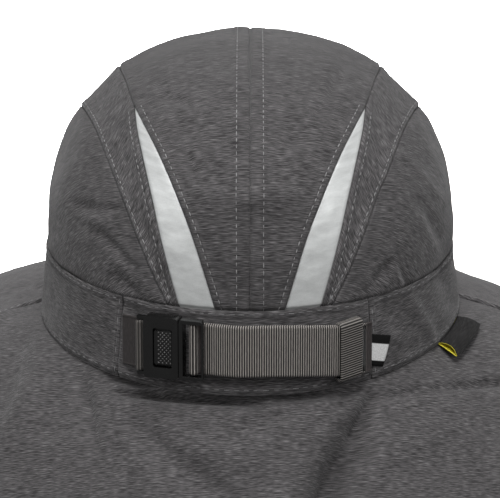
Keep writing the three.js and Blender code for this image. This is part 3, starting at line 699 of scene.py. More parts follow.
def webbing_cloth(name, tone, painted_shade_spans=(), groove_shade=0.05, top=3.0):
    """Ribbed webbing: painted highlight on its ribs' tops and painted shade in their grooves, with
    fine threads along a rib.

    Between the pairs of lengths it is given, it shows painted shade: a flat dark tone for webbing
    lying in shadow."""
    finish, tree, shader = new_finish(name, Roughness=0.7, Sheen_Weight=0.15,
                                      Sheen_Roughness=0.4, Specular_IOR_Level=0.25)
    where = add(tree, "ShaderNodeUVMap", uv_map="cloth").outputs[0]
    length = add(tree, "ShaderNodeSeparateXYZ", {0: where}).outputs["X"]
    turns = calculate(tree, "MULTIPLY", length, UV_UNIT / WEBBING_RIB)
    ribs = calculate(tree, "PINGPONG", turns, 0.5)
    threads = cloth_noise(tree, where, 0.35, 2.5, 2.0, 0.6)
    mixed = calculate(tree, "MULTIPLY_ADD", ribs, 1.6, calculate(tree, "MULTIPLY", threads, 0.25))
    # Painted shade in the grooves and painted highlight on the tops, in step with the ribs' relief
    stops = [(0.3, groove_shade), (0.52, 0.4), (0.85, top)]
    shade = colour_ramp(tree, mixed, [
        (place, (tone * share, tone * share * 0.93, tone * share * 0.87))
        for place, share in stops])
    # Painted shade: a flat dark tone for webbing in shadow
    back = colour_ramp(tree, threads, [(0.3, (tone * 0.16, tone * 0.13, tone * 0.13)),
                                       (0.7, (tone * 0.5, tone * 0.43, tone * 0.42))])
    for first, last in painted_shade_spans:
        # Inside each span the painted shade takes the place of the ribs' colours
        off = calculate(tree, "ABSOLUTE", calculate(
            tree, "MULTIPLY_ADD", length, UV_UNIT, -(first + last) / 2))
        half = (last - first) / 2
        front = add(tree, "ShaderNodeMapRange", {"Value": off, "From Min": half - 0.3,
                                                 "From Max": half + 0.3}).outputs[0]
        shade = add(tree, "ShaderNodeMix", {"Factor": front, "A": back, "B": shade},
                    data_type="RGBA").outputs["Result"]
    tree.links.new(shade, shader.inputs["Base Color"])
    bump = add(tree, "ShaderNodeBump", {"Height": threads, "Strength": 0.5, "Distance": 0.0001})
    tree.links.new(bump.outputs[0], shader.inputs["Normal"])
    return finish


def label_lining(name, low, high):
    """Smooth woven lining in one bright colour."""
    finish, tree, shader = new_finish(name, Roughness=0.6, Sheen_Weight=0.1)
    where = add(tree, "ShaderNodeUVMap", uv_map="cloth").outputs[0]
    threads = cloth_noise(tree, where, 1.2, 0.3, 1.0, 0.5)
    tree.links.new(colour_ramp(tree, threads, [(0.3, low), (0.7, high)]),
                   shader.inputs["Base Color"])
    return finish


def moulded_plastic(name, tone):
    """Moulded plastic with a fine grain, rubbed a little smoother in places."""
    finish, tree, shader = new_finish(name, Specular_IOR_Level=0.7)
    where = add(tree, "ShaderNodeTexCoord").outputs["Object"]
    grain = add(tree, "ShaderNodeTexNoise", {"Vector": where, "Scale": 2600.0, "Detail": 2.0})
    wear = add(tree, "ShaderNodeTexNoise", {"Vector": where, "Scale": 130.0, "Detail": 3.0})
    shade = colour_ramp(tree, wear.outputs["Fac"], [
        (0.35, (tone, tone * 0.96, tone * 0.96)),
        (0.75, (tone * 1.9, tone * 1.85, tone * 1.85)),
    ])
    tree.links.new(shade, shader.inputs["Base Color"])
    rough = add(tree, "ShaderNodeMapRange", {"Value": wear.outputs["Fac"], "To Min": 0.2,
                                             "To Max": 0.33}).outputs[0]
    tree.links.new(rough, shader.inputs["Roughness"])
    bump = add(tree, "ShaderNodeBump", {"Height": grain.outputs["Fac"], "Strength": 0.35,
                                        "Distance": 0.00008})
    tree.links.new(bump.outputs[0], shader.inputs["Normal"])
    return finish


def sewing_thread(name, tone):
    """Twisted thread, a little uneven in tone."""
    finish, tree, shader = new_finish(name, Roughness=0.6, Sheen_Weight=0.2)
    where = add(tree, "ShaderNodeTexCoord").outputs["Object"]
    noise = add(tree, "ShaderNodeTexNoise", {"Vector": where, "Scale": 420.0, "Detail": 2.0})
    shade = colour_ramp(tree, noise.outputs["Fac"], [
        (0.3, (tone * 0.6, tone * 0.59, tone * 0.6)),
        (0.7, (tone * 1.35, tone * 1.33, tone * 1.34)),
    ])
    tree.links.new(shade, shader.inputs["Base Color"])
    return finish


def striped_tag(name, dark, pale, pale_from, pale_to):
    """A woven tag with a pale stripe between two dark ones."""
    finish, tree, shader = new_finish(name, Roughness=0.8, Specular_IOR_Level=0.15)
    where = add(tree, "ShaderNodeUVMap", uv_map="cloth").outputs[0]
    up = add(tree, "ShaderNodeSeparateXYZ", {0: where}).outputs["Y"]
    place = calculate(tree, "MULTIPLY", up, UV_UNIT / TAG_HEIGHT)
    threads = cloth_noise(tree, where, 0.5, 0.5, 1.0, 0.5)
    edge = 0.012
    stripe = colour_ramp(tree, place, [
        (pale_from - edge, (dark, dark, dark)),
        (pale_from + edge, (pale, pale, pale)),
        (pale_to - edge, (pale, pale, pale)),
        (pale_to + edge, (dark, dark, dark)),
    ])
    shade = add(tree, "ShaderNodeMix", {"Factor": 0.35, "A": stripe,
                                        "B": colour_ramp(tree, threads, [
                                            (0.3, (0.3, 0.3, 0.3)), (0.7, (1.0, 1.0, 1.0))])},
                data_type="RGBA", blend_type="MULTIPLY")
    tree.links.new(shade.outputs["Result"], shader.inputs["Base Color"])
    bump = add(tree, "ShaderNodeBump", {"Height": threads, "Strength": 0.5, "Distance": 0.0001})
    tree.links.new(bump.outputs[0], shader.inputs["Normal"])
    return finish


# One heathered cloth, its tone set per piece: partly the cloth's own, partly painted shade and
# light for how light falls on it
CROWN_CLOTH_FINISH = heather_cloth("crown_heather", 0.077)
CENTER_CLOTH_FINISH = heather_cloth("center_heather", 0.07, darker_below=45.0)
BAND_CLOTH_FINISH = heather_cloth("band_heather", 0.07)
BRIM_CLOTH_FINISH = heather_cloth("brim_heather", 0.08, even=0.16)
CAPE_CLOTH_FINISH = heather_cloth("cape_heather", 0.08, even=0.16)
WEDGE_FINISH = reflective_film("reflective_film")
THREAD = sewing_thread("grey_thread", 0.23)
BAND_THREAD = sewing_thread("dull_thread", 0.14)
# The keeper's and anchor's webbing is the strap's, set darker as painted shade where they sit in
# shadow
KEEPER_WEBBING = webbing_cloth("keeper_webbing", 0.083)
# Painted shade on the anchor's flat run past its fold, by lengths along it
ANCHOR_PAINTED_SHADE_SPANS = [(4.7, 40.0)]
ANCHOR_WEBBING = webbing_cloth("anchor_webbing", 0.09, ANCHOR_PAINTED_SHADE_SPANS, 0.4, 1.7)
BUCKLE_PLASTIC = moulded_plastic("buckle_plastic", 0.0015)
# The grip's bumps: the buckle's plastic made paler, a painted highlight for the light they catch
PAD_HIGHLIGHT_PLASTIC = moulded_plastic("pad_painted_highlight", 0.055)
TAG_CLOTH = striped_tag("striped_tag", 0.006, 0.7, 0.17, 0.71)
LABEL_OUTSIDE = heather_cloth("label_charcoal", 0.016, sheen=0.05)
LABEL_INSIDE = label_lining("label_yellow", (0.5, 0.42, 0.012), (0.85, 0.76, 0.04))


def uv_crown(side, degrees):
    return lambda u, v, across, down: turned_uv(side * (across - across[:, -1:] / 2), down, degrees)


# Crown panels

BAND_TUCK = UNDER_BAND.tuck / CROWN_CLOTH


def crown_place(side, inner, outer, run_to=1 + BAND_TUCK):
    def place(u, v):
        run = -1 - BAND_TUCK + (run_to + 1 + BAND_TUCK) * u
        first, last = inner(run), outer(run)
        across = first + (last - first) * v
        return side * across, run * np.sqrt(1 - across**2)
    return place


def side_place(side):
    """The side panel between the gore's outer seam and the band, with two corners."""
    gore = seam("gore")

    def seam_at(run):
        across = gore(run)
        return across, run * np.sqrt(1 - across**2)

    def place(u, v):
        spread = 0.4 * u + 0.3 * (1 - np.cos(u * math.pi))
        across, down = seam_at(-1 + 2 * spread)
        first, last = (math.atan2(*seam_at(np.array(run))) for run in (-1.0, 1.0))
        turned = first + (last - first) * spread
        out = 1 + BAND_TUCK
        return (side * (across + (out * np.sin(turned) - across) * v),
                down + (out * np.cos(turned) - down) * v)
    return place


# The seams above the wedges' tips have no stitches on the wedge's side
TIP_SHARE = (WEDGE_TIP / (1 + BAND_TUCK) + 1) / 2
CENTER_SIDES = (Edge(0.65, 6.4, 0.5, (5.2,)), Edge(0.8, 3.7, 0.45, (2.7,), until=TIP_SHARE))
WEDGE_SIDES = (Edge(0.3, 0, 0), Edge(0.3, 0, 0))
GORE_SIDES = (Edge(0.8, 3.7, 0.45, (2.8,), until=TIP_SHARE), Edge(0.8, 3.0, 0.5, (2.1,)))
SIDE_SIDES = (TURNED_IN, UNDER_BAND)
PANEL_RUN = Steps(290, 0.5, 3.0, 1.35)
CENTER_WIDTH = Steps(30, 0.45, 7.5, 1.8)
WEDGE_RUN = Steps(95, 0.5, 3.0, 1.4)
WEDGE_WIDTH = Steps(9, 0.45, 1.6, 0.8)
WEDGE_SINK = 0.3
GORE_WIDTH = Steps(14, 0.42, 4.2, 1.4)
SIDE_RUN = Steps(250, 0.5, 3.0, 1.5)
SIDE_WIDTH = Steps(62, 0.45, 3.6, 1.6)

# How far each panel's weft turns from level, in degrees
GORE_WEFT = 50
SIDE_WEFT = 35


def make_crown():
    for word, side in (("left", -1), ("right", 1)):
        seed = 20 + side
        sewn_cloth(
            f"crown_center_{word}", crown_point, crown_place(side, center_line, seam("center")),
            PANEL_RUN, CENTER_WIDTH, head_outward, CROWN_WALL, CENTER_CLOTH_FINISH,
            "crown_cloth", CENTER_SIDES, (UNDER_BAND, UNDER_BAND), uv_crown(side, 0), "crown",
            CROWN_CREASES, seed=seed)
        sewn_cloth(
            f"reflective_wedge_{word}", crown_point,
            crown_place(side, seam("center"), seam("wedge"), WEDGE_TIP), WEDGE_RUN, WEDGE_WIDTH,
            head_outward, CROWN_WALL - WEDGE_SINK, WEDGE_FINISH, "reflective_cloth", WEDGE_SIDES,
            (UNDER_BAND, RAW), uv_crown(side, 0), "crown", sink=-WEDGE_SINK, wave=0.15,
            seed=seed + 30)
        sewn_cloth(
            f"crown_gore_{word}", crown_point, crown_place(side, seam("wedge"), seam("gore")),
            PANEL_RUN, GORE_WIDTH, head_outward, CROWN_WALL, CROWN_CLOTH_FINISH, "crown_cloth",
            GORE_SIDES, (UNDER_BAND, UNDER_BAND), uv_crown(side, side * -GORE_WEFT), "crown",
            CROWN_CREASES, belly=-0.8, seed=seed + 60)
        sewn_cloth(
            f"crown_side_{word}", crown_point, side_place(side), SIDE_RUN, SIDE_WIDTH,
            head_outward, CROWN_WALL, CROWN_CLOTH_FINISH, "crown_cloth", SIDE_SIDES, (RAW, RAW),
            uv_crown(side, side * SIDE_WEFT), "crown", CROWN_CREASES, belly=0.3, seed=seed + 90)


# Band, brim and cape

LEFT_SEAM = -math.asin(BAND_SEAM_LEFT / RIM_HALF_WIDTH)
RIGHT_SEAM = math.asin(BAND_SEAM_RIGHT / RIM_HALF_WIDTH)
BAND_SIDES = (Edge(0.8, 2.4, 0.5, (1.4,), 0.9), Edge(0.8, 2.4, 0.5, (1.45,)))
BAND_END = Edge(0.7, 2.6, 0.4, (1.3,))
UNDER_SIDES = Edge(0.75, 0.0, 0.0, (), 1.2)
BRIM_END = Edge(1.5, 2.8, 0.5, (1.7,))
BRIM_RIM = Edge(0.9, 7.5, 0.3, (1.5, 6.5))
CAPE_HEM = Edge(0.5, 8.5, 0.3, (7.5,))
BAND_UP = Steps(32.5, 0.42, 4.2, 1.3)
BAND_BACK_RUN = Steps(112, 0.45, 3.0, 1.2)
BAND_SIDES_RUN = Steps(480, 0.45, 4.0, 1.5)
BRIM_RUN = Steps(420, 0.6, 4.0, 2.2)
BRIM_WIDTH = Steps(95, 0.6, 8.0, 2.2)
CAPE_RUN = Steps(470, 0.6, 4.0, 1.9)
CAPE_LENGTH = Steps(185, 0.6, 9.0, 2.0)

# How far the cape goes on under the brim at each of its seams, as a bearing in radians
CAPE_OVERLAP = 0.011

# The brim and cape cut flat: the radius of their inner edge on the head, and how much narrower
# the fan's angle is than the bearing
FAN_RADIUS = 98
BRIM_NARROWING = 0.95
CAPE_NARROWING = 0.55


def turn_place(first, last):
    return lambda u, v: (first + (last - first) * u, v)


def band_place(first, last, tuck=0.0):
    """Bearing and height on the band, from a little below it and beyond its ends."""
    beyond = tuck / RIM_HALF_WIDTH
    below = BAND_SIDES[0].tuck / BAND_HEIGHT
    return lambda u, v: (first - beyond + (last - first + 2 * beyond) * u,
                         (1 + below) * v - below)


def uv_band(u, v, across, down):
    return turned_uv(down, across, 0)


def make_band():
    sewn_cloth(
        "band_back", band_point, band_place(LEFT_SEAM, RIGHT_SEAM, UNDER_SIDES.tuck),
        BAND_BACK_RUN, BAND_UP, head_outward, BAND_WALL, BAND_CLOTH_FINISH, "band_cloth",
        BAND_SIDES, (UNDER_SIDES, UNDER_SIDES), uv_band, "band", BAND_CREASES, wave=0.35,
        seed=201)
    sewn_cloth(
        "band_sides", band_point, band_place(RIGHT_SEAM, 2 * math.pi + LEFT_SEAM),
        BAND_SIDES_RUN, BAND_UP, head_outward, BAND_WALL, BAND_CLOTH_FINISH, "band_cloth",
        BAND_SIDES, (BAND_END, BAND_END), uv_band, "band", BAND_CREASES, wave=0.35, seed=202)


def uv_fan(first, last, narrowing):
    """Cloth coordinates of a fan cut flat: a bearing turns by its narrowed angle."""
    def uv_map(u, v, across, down):
        angle = (first + (last - first) * u) * narrowing
        middle = (first + last) / 2 * narrowing
        out = FAN_RADIUS / narrowing + across
        return np.stack([out * np.sin(angle - middle), -out * np.cos(angle - middle)], axis=-1)
    return uv_map


def make_skirt():
    brim_last = 2 * math.pi - SKIRT_SEAM
    sewn_cloth(
        "brim", skirt_point, turn_place(SKIRT_SEAM, brim_last), BRIM_RUN, BRIM_WIDTH, up_outward,
        BRIM_WALL, BRIM_CLOTH_FINISH, "brim_cloth", (RAW, BRIM_RIM), (BRIM_END, BRIM_END),
        uv_fan(SKIRT_SEAM, brim_last, BRIM_NARROWING), "skirt", BRIM_CREASES, wave=0.5, seed=301)
    cape_last = SKIRT_SEAM + CAPE_OVERLAP
    cape = sewn_cloth(
        "neck_cape", skirt_point, turn_place(-cape_last, cape_last), CAPE_RUN, CAPE_LENGTH,
        up_outward, CAPE_WALL, CAPE_CLOTH_FINISH, "cape_cloth", (RAW, CAPE_HEM),
        (UNDER_SIDES, UNDER_SIDES), uv_fan(-SKIRT_SEAM, SKIRT_SEAM, CAPE_NARROWING), "skirt",
        CAPE_CREASES, wave=0.7, seed=302)
    edges = [np.diff(cape.points[:, :-1], axis=0), np.diff(cape.points[:-1], axis=1)]
    flat = [float(np.ptp(cape.uvs[..., axis])) * MM for axis in (0, 1)]


# Stitches

STITCH_WIDTH = 0.23
STITCH_HEIGHT = 0.2


def stitches(part, slot, pitch, thread):
    """Rows of short raised stitches, each a few-sided bead of thread along its line."""
    chance = np.random.default_rng(5)
    whole = bmesh.new()
    scratch = bpy.data.meshes.new("stitch_row")
    for line in stitch_lines[part]:
        at = line_lengths(line[:, :3])
        row = bmesh.new()
        for place in np.arange(pitch * 0.8, at[-1] - pitch * 0.6, pitch):
            place += chance.uniform(-0.15, 0.15)
            half = pitch * 0.35 * chance.uniform(0.75, 1.1)
            rise = chance.uniform(-0.1, 0.1)
            here, ahead, behind = (np.array([np.interp(place + step, at, line[:, k])
                                             for k in range(6)]) for step in (0, half, -half))
            tangent = Vector(ahead[:3] - behind[:3]).normalized()
            normal = Vector(here[3:]).normalized()
            sideways = normal.cross(tangent).normalized()
            normal = tangent.cross(sideways)
            turn = Matrix((sideways, normal, tangent)).transposed().to_4x4()
            size = Matrix.Diagonal((STITCH_WIDTH * MM, STITCH_HEIGHT * MM, half * MM, 1))
            middle = (Vector(here[:3]) + normal * rise) * MM
            bmesh.ops.create_uvsphere(row, u_segments=6, v_segments=4, radius=1,
                                      matrix=Matrix.Translation(middle) @ turn @ size)
        row.to_mesh(scratch)
        row.free()
        whole.from_mesh(scratch)
    bpy.data.meshes.remove(scratch)
    keep(mesh_object(f"{part}_stitches", whole, [thread]), slot)


# Strap, keeper and anchor

# The strap stands clear of the band at its lower edge, this far below its middle
STRAP_LOW = 10.0
STRAP_MID_HEIGHT = 18.4
STRAP_DROP = 3.8
BUCKLE_CENTER_X = -27.9
BUCKLE_YAW = math.radians(17)
BUCKLE_HEIGHT = 24.6
BUCKLE_DEPTH = 6.0
SOCKET_LENGTH = 14.1
INSERT_LENGTH = 10.0
BUCKLE_EDGE = 1.6
WRAP_RADIUS = 0.5 + SEAM_GAP + WEBBING / 2
STRAP_START_X = BUCKLE_CENTER_X + INSERT_LENGTH
STRAP_END_X = BAND_SEAM_RIGHT - SEAM_GAP - WEBBING / 2
KEEPER_END_X = STRAP_END_X - 3.7
KEEPER_LENGTH = 10.3
KEEPER_CORNER = 1.5
ANCHOR_DROP = 2.2
DROP_SLOPE = STRAP_DROP / (KEEPER_END_X - STRAP_START_X)
KEEPER_INSIDE = WEBBING + WEBBING_PITCH + 4 * SEAM_GAP
KEEPER_STAND = KEEPER_INSIDE / 2 + WEBBING + WEBBING_PITCH / 2 + 3 * SEAM_GAP
STRAP_BOW = 2.3
STRAP_ARCH = 2.2
SOCKET_FROM = -(SOCKET_LENGTH + INSERT_LENGTH) / 2 - SEAM_GAP / 2
SOCKET_TO = SOCKET_FROM + SOCKET_LENGTH
INSERT_FROM = SOCKET_TO + SEAM_GAP
INSERT_TO = INSERT_FROM + INSERT_LENGTH
INSERT_BAR_X = (INSERT_FROM + BUCKLE_EDGE + INSERT_TO - BUCKLE_EDGE / 2) / 2 - SEAM_GAP
INSERT_BAR_Y = -BUCKLE_DEPTH + 1.3 + SEAM_GAP + WEBBING / 2
SOCKET_BAR_X = SOCKET_FROM - SEAM_GAP - WEBBING / 2 - WRAP_RADIUS
SOCKET_BAR_Y = -BUCKLE_DEPTH * 0.6
RIB_STEPS = 6
PATH_STEP = WEBBING_RIB / RIB_STEPS

# The keeper sits above the strap's middle by this much, and rises by this slope to the right
KEEPER_LIFT = 0.5
KEEPER_LEAN = 0.12


def strap_mid(x):
    """The height of the strap's middle: it drops to the right, and a taut strap arches a little."""
    share = np.clip((x - STRAP_START_X) / (KEEPER_END_X - STRAP_START_X), 0, 1)
    drop = DROP_SLOPE * (x - STRAP_START_X)
    return STRAP_MID_HEIGHT - drop + STRAP_ARCH * np.sin(math.pi * share)


BUCKLE_BACK_Y = (band_back(BUCKLE_CENTER_X + SOCKET_TO * math.cos(BUCKLE_YAW),
                           STRAP_MID_HEIGHT - BUCKLE_HEIGHT / 2)
                 - 2 * SEAM_GAP + SOCKET_TO * math.sin(BUCKLE_YAW))


def from_buckle(x, y):
    """A place in plan from the buckle's own frame: x along the strap, y towards the band."""
    cosine, sine = math.cos(BUCKLE_YAW), math.sin(BUCKLE_YAW)
    return np.array([BUCKLE_CENTER_X + x * cosine + y * sine,
                     BUCKLE_BACK_Y - x * sine + y * cosine])


def strap_front(x):
    share = (x - STRAP_START_X) / (KEEPER_END_X - STRAP_START_X)
    stand = KEEPER_STAND + STRAP_BOW * (1 - share**2)
    return np.array([x, band_back(x, strap_mid(x) - WEBBING_WIDTH / 2) - stand])


def strap_back(x):
    """The second layer of the strap, one webbing pitch nearer the band."""
    way = strap_front(x + 0.5) - strap_front(x - 0.5)
    way /= np.linalg.norm(way)
    return strap_front(x) + np.array([-way[1], way[0]]) * WEBBING_PITCH


def line_lengths(line):
    """Distance along a line of points from its first one."""
    return np.concatenate([[0], np.cumsum(np.linalg.norm(np.diff(line, axis=0), axis=1))])


def smooth_path(points):
    """Even steps along a smooth line through a few points in plan."""
    points = np.array(points)
    at = line_lengths(points)
    fine = np.linspace(0, at[-1], int(at[-1] / PATH_STEP) * 4)
    curve = np.stack([along(at, points[:, k], fine) for k in (0, 1)], axis=-1)
    length = line_lengths(curve)
    even = np.linspace(0, length[-1], int(length[-1] / PATH_STEP) + 1)
    return np.stack([np.interp(even, length, curve[:, k]) for k in (0, 1)], axis=-1)


def arc(center, radius, first, last, count):
    angle = np.radians(np.linspace(first, last, count))
    return [center + radius * np.array([math.cos(a), math.sin(a)]) for a in angle]


def ribbed_webbing(name, path, width, stand_up, finish, painted_shade_spans=(), wall=0.86, thin=0.35):
    """Webbing along an even path in two directions, with ribs across it and thinner edges.

    stand_up(path, off) places the path's points at distances off across the webbing. Between the
    pairs of lengths it is given for painted shade, it has no ribs."""
    way = np.gradient(path, axis=0)
    way /= np.linalg.norm(way, axis=1, keepdims=True)
    sideways = np.stack([way[:, 1], -way[:, 0]], axis=-1)
    at = line_lengths(path)
    off = width * (np.array([0, 0.012, 0.03, 0.06, 0.12, 0.25, 0.4, 0.5,
                             0.6, 0.75, 0.88, 0.94, 0.97, 0.988, 1]) - 0.5)
    edge = np.clip((width / 2 - np.abs(off)) / 0.7, 0, 1)
    ribs = 0.2 * np.abs(np.sin(math.pi * at / WEBBING_RIB)) ** 0.8
    for first, last in painted_shade_spans:
        ribs[(at > first) & (at < last)] = 0.1
    lift = ribs[:, None] * edge[None, :] + WEBBING / 2 - 0.2 - thin * (1 - edge[None, :]) ** 2
    points = np.stack([stand_up(path + sideways * lift[:, j:j + 1], distance)
                       for j, distance in enumerate(off)], axis=1)
    uvs = np.stack(np.meshgrid(at, off, indexing="ij"), axis=-1)
    outward = stand_up(path + sideways, 0.0) - stand_up(path, 0.0)
    normals, turned = grid_normals(points, outward[:, None, :])
    made = sheet_object(f"{name}_ribbed", points, uvs, wall, [finish], turned)
    return keep(made, "webbing", name)


def upright(mid_height):
    """Stands a path in plan up to a height above it, about the webbing's middle."""
    def stand_up(path, off):
        return np.column_stack([path, mid_height(path[:, 0]) + off])
    return stand_up


def make_strap():
    span = KEEPER_END_X - STRAP_START_X
    stations = [STRAP_START_X + span * share for share in (0.22, 0.4, 0.58, 0.76, 0.88, 1)]
    exit_x = INSERT_TO + 0.4
    end_y = band_back(STRAP_END_X, strap_mid(STRAP_END_X) - STRAP_LOW) - WEBBING / 2 - 3 * SEAM_GAP
    front = [*(strap_front(x) for x in reversed(stations)),
             from_buckle(exit_x + 0.6, -2.6), from_buckle(INSERT_BAR_X + 2.4, -2.1),
             from_buckle(INSERT_BAR_X + 1.5, -2.7)]
    yaw = math.degrees(BUCKLE_YAW)
    bar = from_buckle(INSERT_BAR_X + 0.35, INSERT_BAR_Y)
    loop = arc(bar, WRAP_RADIUS, 0 - yaw, -220 - yaw, 12)
    back = [from_buckle(INSERT_BAR_X + 0.5, -1.2), from_buckle(INSERT_BAR_X + 2.2, -0.8),
            from_buckle(exit_x + 0.6, -1.2), *(strap_back(x) for x in stations),
            np.array([STRAP_END_X, end_y])]
    path = smooth_path([*front, *loop, *back])[::-1]
    turned = np.linalg.norm(path - from_buckle(INSERT_BAR_X - 1.0, INSERT_BAR_Y), axis=1).argmin()
    turn_at = line_lengths(path)[turned]
    # Painted shade on the strap: its end under the keeper and its runs in the buckle's slot beside
    # the bar
    painted_shade_spans = [(-1.0, 3.4), (turn_at - 2.6, turn_at - 0.1), (turn_at + 5.0, turn_at + 8.5)]
    finish = webbing_cloth("strap_webbing", 0.125, painted_shade_spans)
    ribbed_webbing("strap", path, WEBBING_WIDTH, upright(strap_mid), finish, painted_shade_spans)


def make_anchor():
    seam_x = -BAND_SEAM_LEFT + SEAM_GAP + WEBBING
    foot_y = band_back(seam_x, STRAP_MID_HEIGHT - STRAP_LOW) - SEAM_GAP - WEBBING
    foot = np.array([seam_x, foot_y])
    bar = from_buckle(SOCKET_BAR_X, SOCKET_BAR_Y)
    way = (foot - bar) / np.linalg.norm(foot - bar)
    sideways = np.array([-way[1], way[0]])
    first = math.degrees(math.atan2(sideways[1], sideways[0]))
    outer = bar + sideways * WRAP_RADIUS * 0.8 + way * 0.9
    inner = foot - sideways * WEBBING_PITCH / 2 - way * WEBBING_PITCH
    path = smooth_path([outer, *arc(bar, WRAP_RADIUS, first, first + 180, 9), inner])

    def anchor_mid(x):
        return STRAP_MID_HEIGHT - ANCHOR_DROP * np.clip((bar[0] - x) / (bar[0] - foot[0]), 0, 1)

    ribbed_webbing("strap_anchor", path, WEBBING_WIDTH, upright(anchor_mid), ANCHOR_WEBBING,
                   ANCHOR_PAINTED_SHADE_SPANS)


def make_keeper():
    middle_x = KEEPER_END_X - KEEPER_LENGTH * 0.48
    way = strap_front(middle_x + 1) - strap_front(middle_x - 1)
    way /= np.linalg.norm(way)
    inwards = np.array([-way[1], way[0]])
    center = strap_front(middle_x) + inwards * WEBBING_PITCH / 2
    half_depth = KEEPER_INSIDE / 2 + WEBBING / 2
    half_height = (WEBBING_WIDTH + 2 * SEAM_GAP + KEEPER_LENGTH * DROP_SLOPE + WEBBING) / 2
    ring = []
    for depth, height, first in ((-1, 1, 90), (-1, -1, 180), (1, -1, 270), (1, 1, 0)):
        middle = np.array([depth * (half_depth - KEEPER_CORNER),
                           height * (half_height - KEEPER_CORNER)])
        ring += arc(middle, KEEPER_CORNER, first, first + 90, 5)
    path = smooth_path([*ring, ring[0]])

    def stand_up(path, off):
        plan = center + np.outer(path[:, 0], inwards) + way * off
        up = strap_mid(middle_x) + KEEPER_LIFT + KEEPER_LEAN * off + path[:, 1]
        return np.column_stack([plan, up])

    ribbed_webbing("strap_keeper", path, KEEPER_LENGTH, stand_up, KEEPER_WEBBING)


# Buckle

SOCKET_EDGE = 0.6
INSERT_EDGE = 0.55
WINDOW_FROM = SOCKET_FROM + 2.6 + 1.3
WINDOW_LENGTH = 7.8

# The pad's ends lie beyond this height from the strap's middle, and are this much shorter
PAD_ENDS = 6
PAD_SHORTER = 0.9

# The grip's bumps: rows and columns, and the steps between them
GRIP_COLUMNS = 7
GRIP_ROWS = 15
GRIP_STEP = 0.8
GRIP_RISE = 0.87


def moulded_copy(name, bevel, shorten=0.0):
    """A CAD node's shape with merged corners, flat faces made whole, and rounded edges.

    shorten takes some height off the press pad, which leaves a wider slot round it."""
    mesh = bmesh.new()
    mesh.from_mesh(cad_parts[name].data)
    bmesh.ops.remove_doubles(mesh, verts=mesh.verts, dist=1e-6)
    bmesh.ops.dissolve_limit(mesh, angle_limit=math.radians(2), verts=mesh.verts, edges=mesh.edges)
    for vert in mesh.verts:
        spot = np.array(vert.co) / MM
        along_it = (spot[:2] - from_buckle(0, 0)) @ [math.cos(BUCKLE_YAW), -math.sin(BUCKLE_YAW)]
        up = spot[2] - STRAP_MID_HEIGHT
        if shorten and WINDOW_FROM < along_it < SOCKET_TO and abs(up) > PAD_ENDS:
            vert.co.z -= math.copysign(shorten * MM, up)
    made = mesh_object(f"{name}_moulded", mesh, [BUCKLE_PLASTIC])
    rounded = made.modifiers.new("rounded", "BEVEL")
    rounded.width = bevel * MM
    rounded.segments = 3
    rounded.limit_method = "ANGLE"
    rounded.angle_limit = math.radians(28)
    rounded.harden_normals = True
    return keep(made, "buckle_plastic", name)


def make_pad():
    """The press pad's grip: interleaved rows of diamond-shaped bumps, paler than the buckle as a
    painted highlight.
    """
    front = -BUCKLE_DEPTH + 0.6
    middle_x = WINDOW_FROM + WINDOW_LENGTH / 2 + 0.7
    pad = bmesh.new()
    for i in range(GRIP_COLUMNS):
        for j in range(GRIP_ROWS):
            if (i + j) % 2:
                continue
            x = (i - GRIP_COLUMNS // 2) * GRIP_STEP
            z = (j - GRIP_ROWS // 2) * GRIP_RISE
            place = from_buckle(middle_x + x, front)
            turn = Matrix.Rotation(-BUCKLE_YAW, 4, "Z") @ Matrix.Rotation(math.pi / 2, 4, "X")
            spot = Matrix.Translation(Vector((*place, STRAP_MID_HEIGHT + z)) * MM)
            bmesh.ops.create_cone(pad, segments=4, radius1=0.62 * MM, radius2=0.26 * MM,
                                  depth=0.7 * MM, cap_ends=True, matrix=spot @ turn)
    made = mesh_object("pad_grip", pad, [PAD_HIGHLIGHT_PLASTIC])
    for face in made.data.polygons:
        face.use_smooth = False
    rounded = made.modifiers.new("rounded", "BEVEL")
    rounded.width = 0.1 * MM
    rounded.segments = 2
    keep(made, "buckle_plastic")


# Tag and label

# The tag's top leans to the right, its sewn end sits higher, and its free end hangs lower
TAG_LEAN = 4.4
TAG_RAISE = 2.0
TAG_FALL = 3.4
TAG_STAND = 1.25
TAG_WALL = 0.55

# The label's lower layer lies close to the cape, and its upper one bulges away from it
LABEL_CLOSE = 0.4
LABEL_BULGE = 2.7
LABEL_WALL = 0.3
LABEL_LENGTH = 30


def make_tag():
    first_x = BAND_SEAM_RIGHT - TAG_BEFORE_SEAM
    first = math.asin(first_x / RIM_HALF_WIDTH)
    last = math.asin((first_x + TAG_LENGTH) / RIM_HALF_WIDTH)
    u, v = np.meshgrid(np.linspace(0, 1, 22), np.linspace(0, 1, 30), indexing="ij")
    lean = 0.008 + (v - 0.5) * (TAG_LEAN + 0.5 * u) / RIM_HALF_WIDTH
    up = (TAG_MID_HEIGHT + TAG_HEIGHT * (v - 0.5)) / BAND_HEIGHT
    base = band_point(first + (last - first) * u + lean, up)
    normals, turned = grid_normals(base, head_outward(base))
    base[..., 2] += TAG_RAISE - TAG_FALL * u
    edge = np.minimum(np.minimum(u, 1 - u) * TAG_LENGTH, np.minimum(v, 1 - v) * TAG_HEIGHT)
    lift = TAG_STAND - 0.25 * np.exp(-((edge / 0.4) ** 2)) + 0.06 * ripple(base, 6, 3)
    lift = lift + 0.25 * u * np.sin(math.pi * v)
    points = base + normals * lift[..., None]
    uvs = np.stack([u * TAG_LENGTH, v * TAG_HEIGHT], axis=-1)
    made = sheet_object("seam_tag_woven", points, uvs, TAG_WALL, [TAG_CLOTH], turned)
    keep(made, "tag_cloth", "seam_tag")


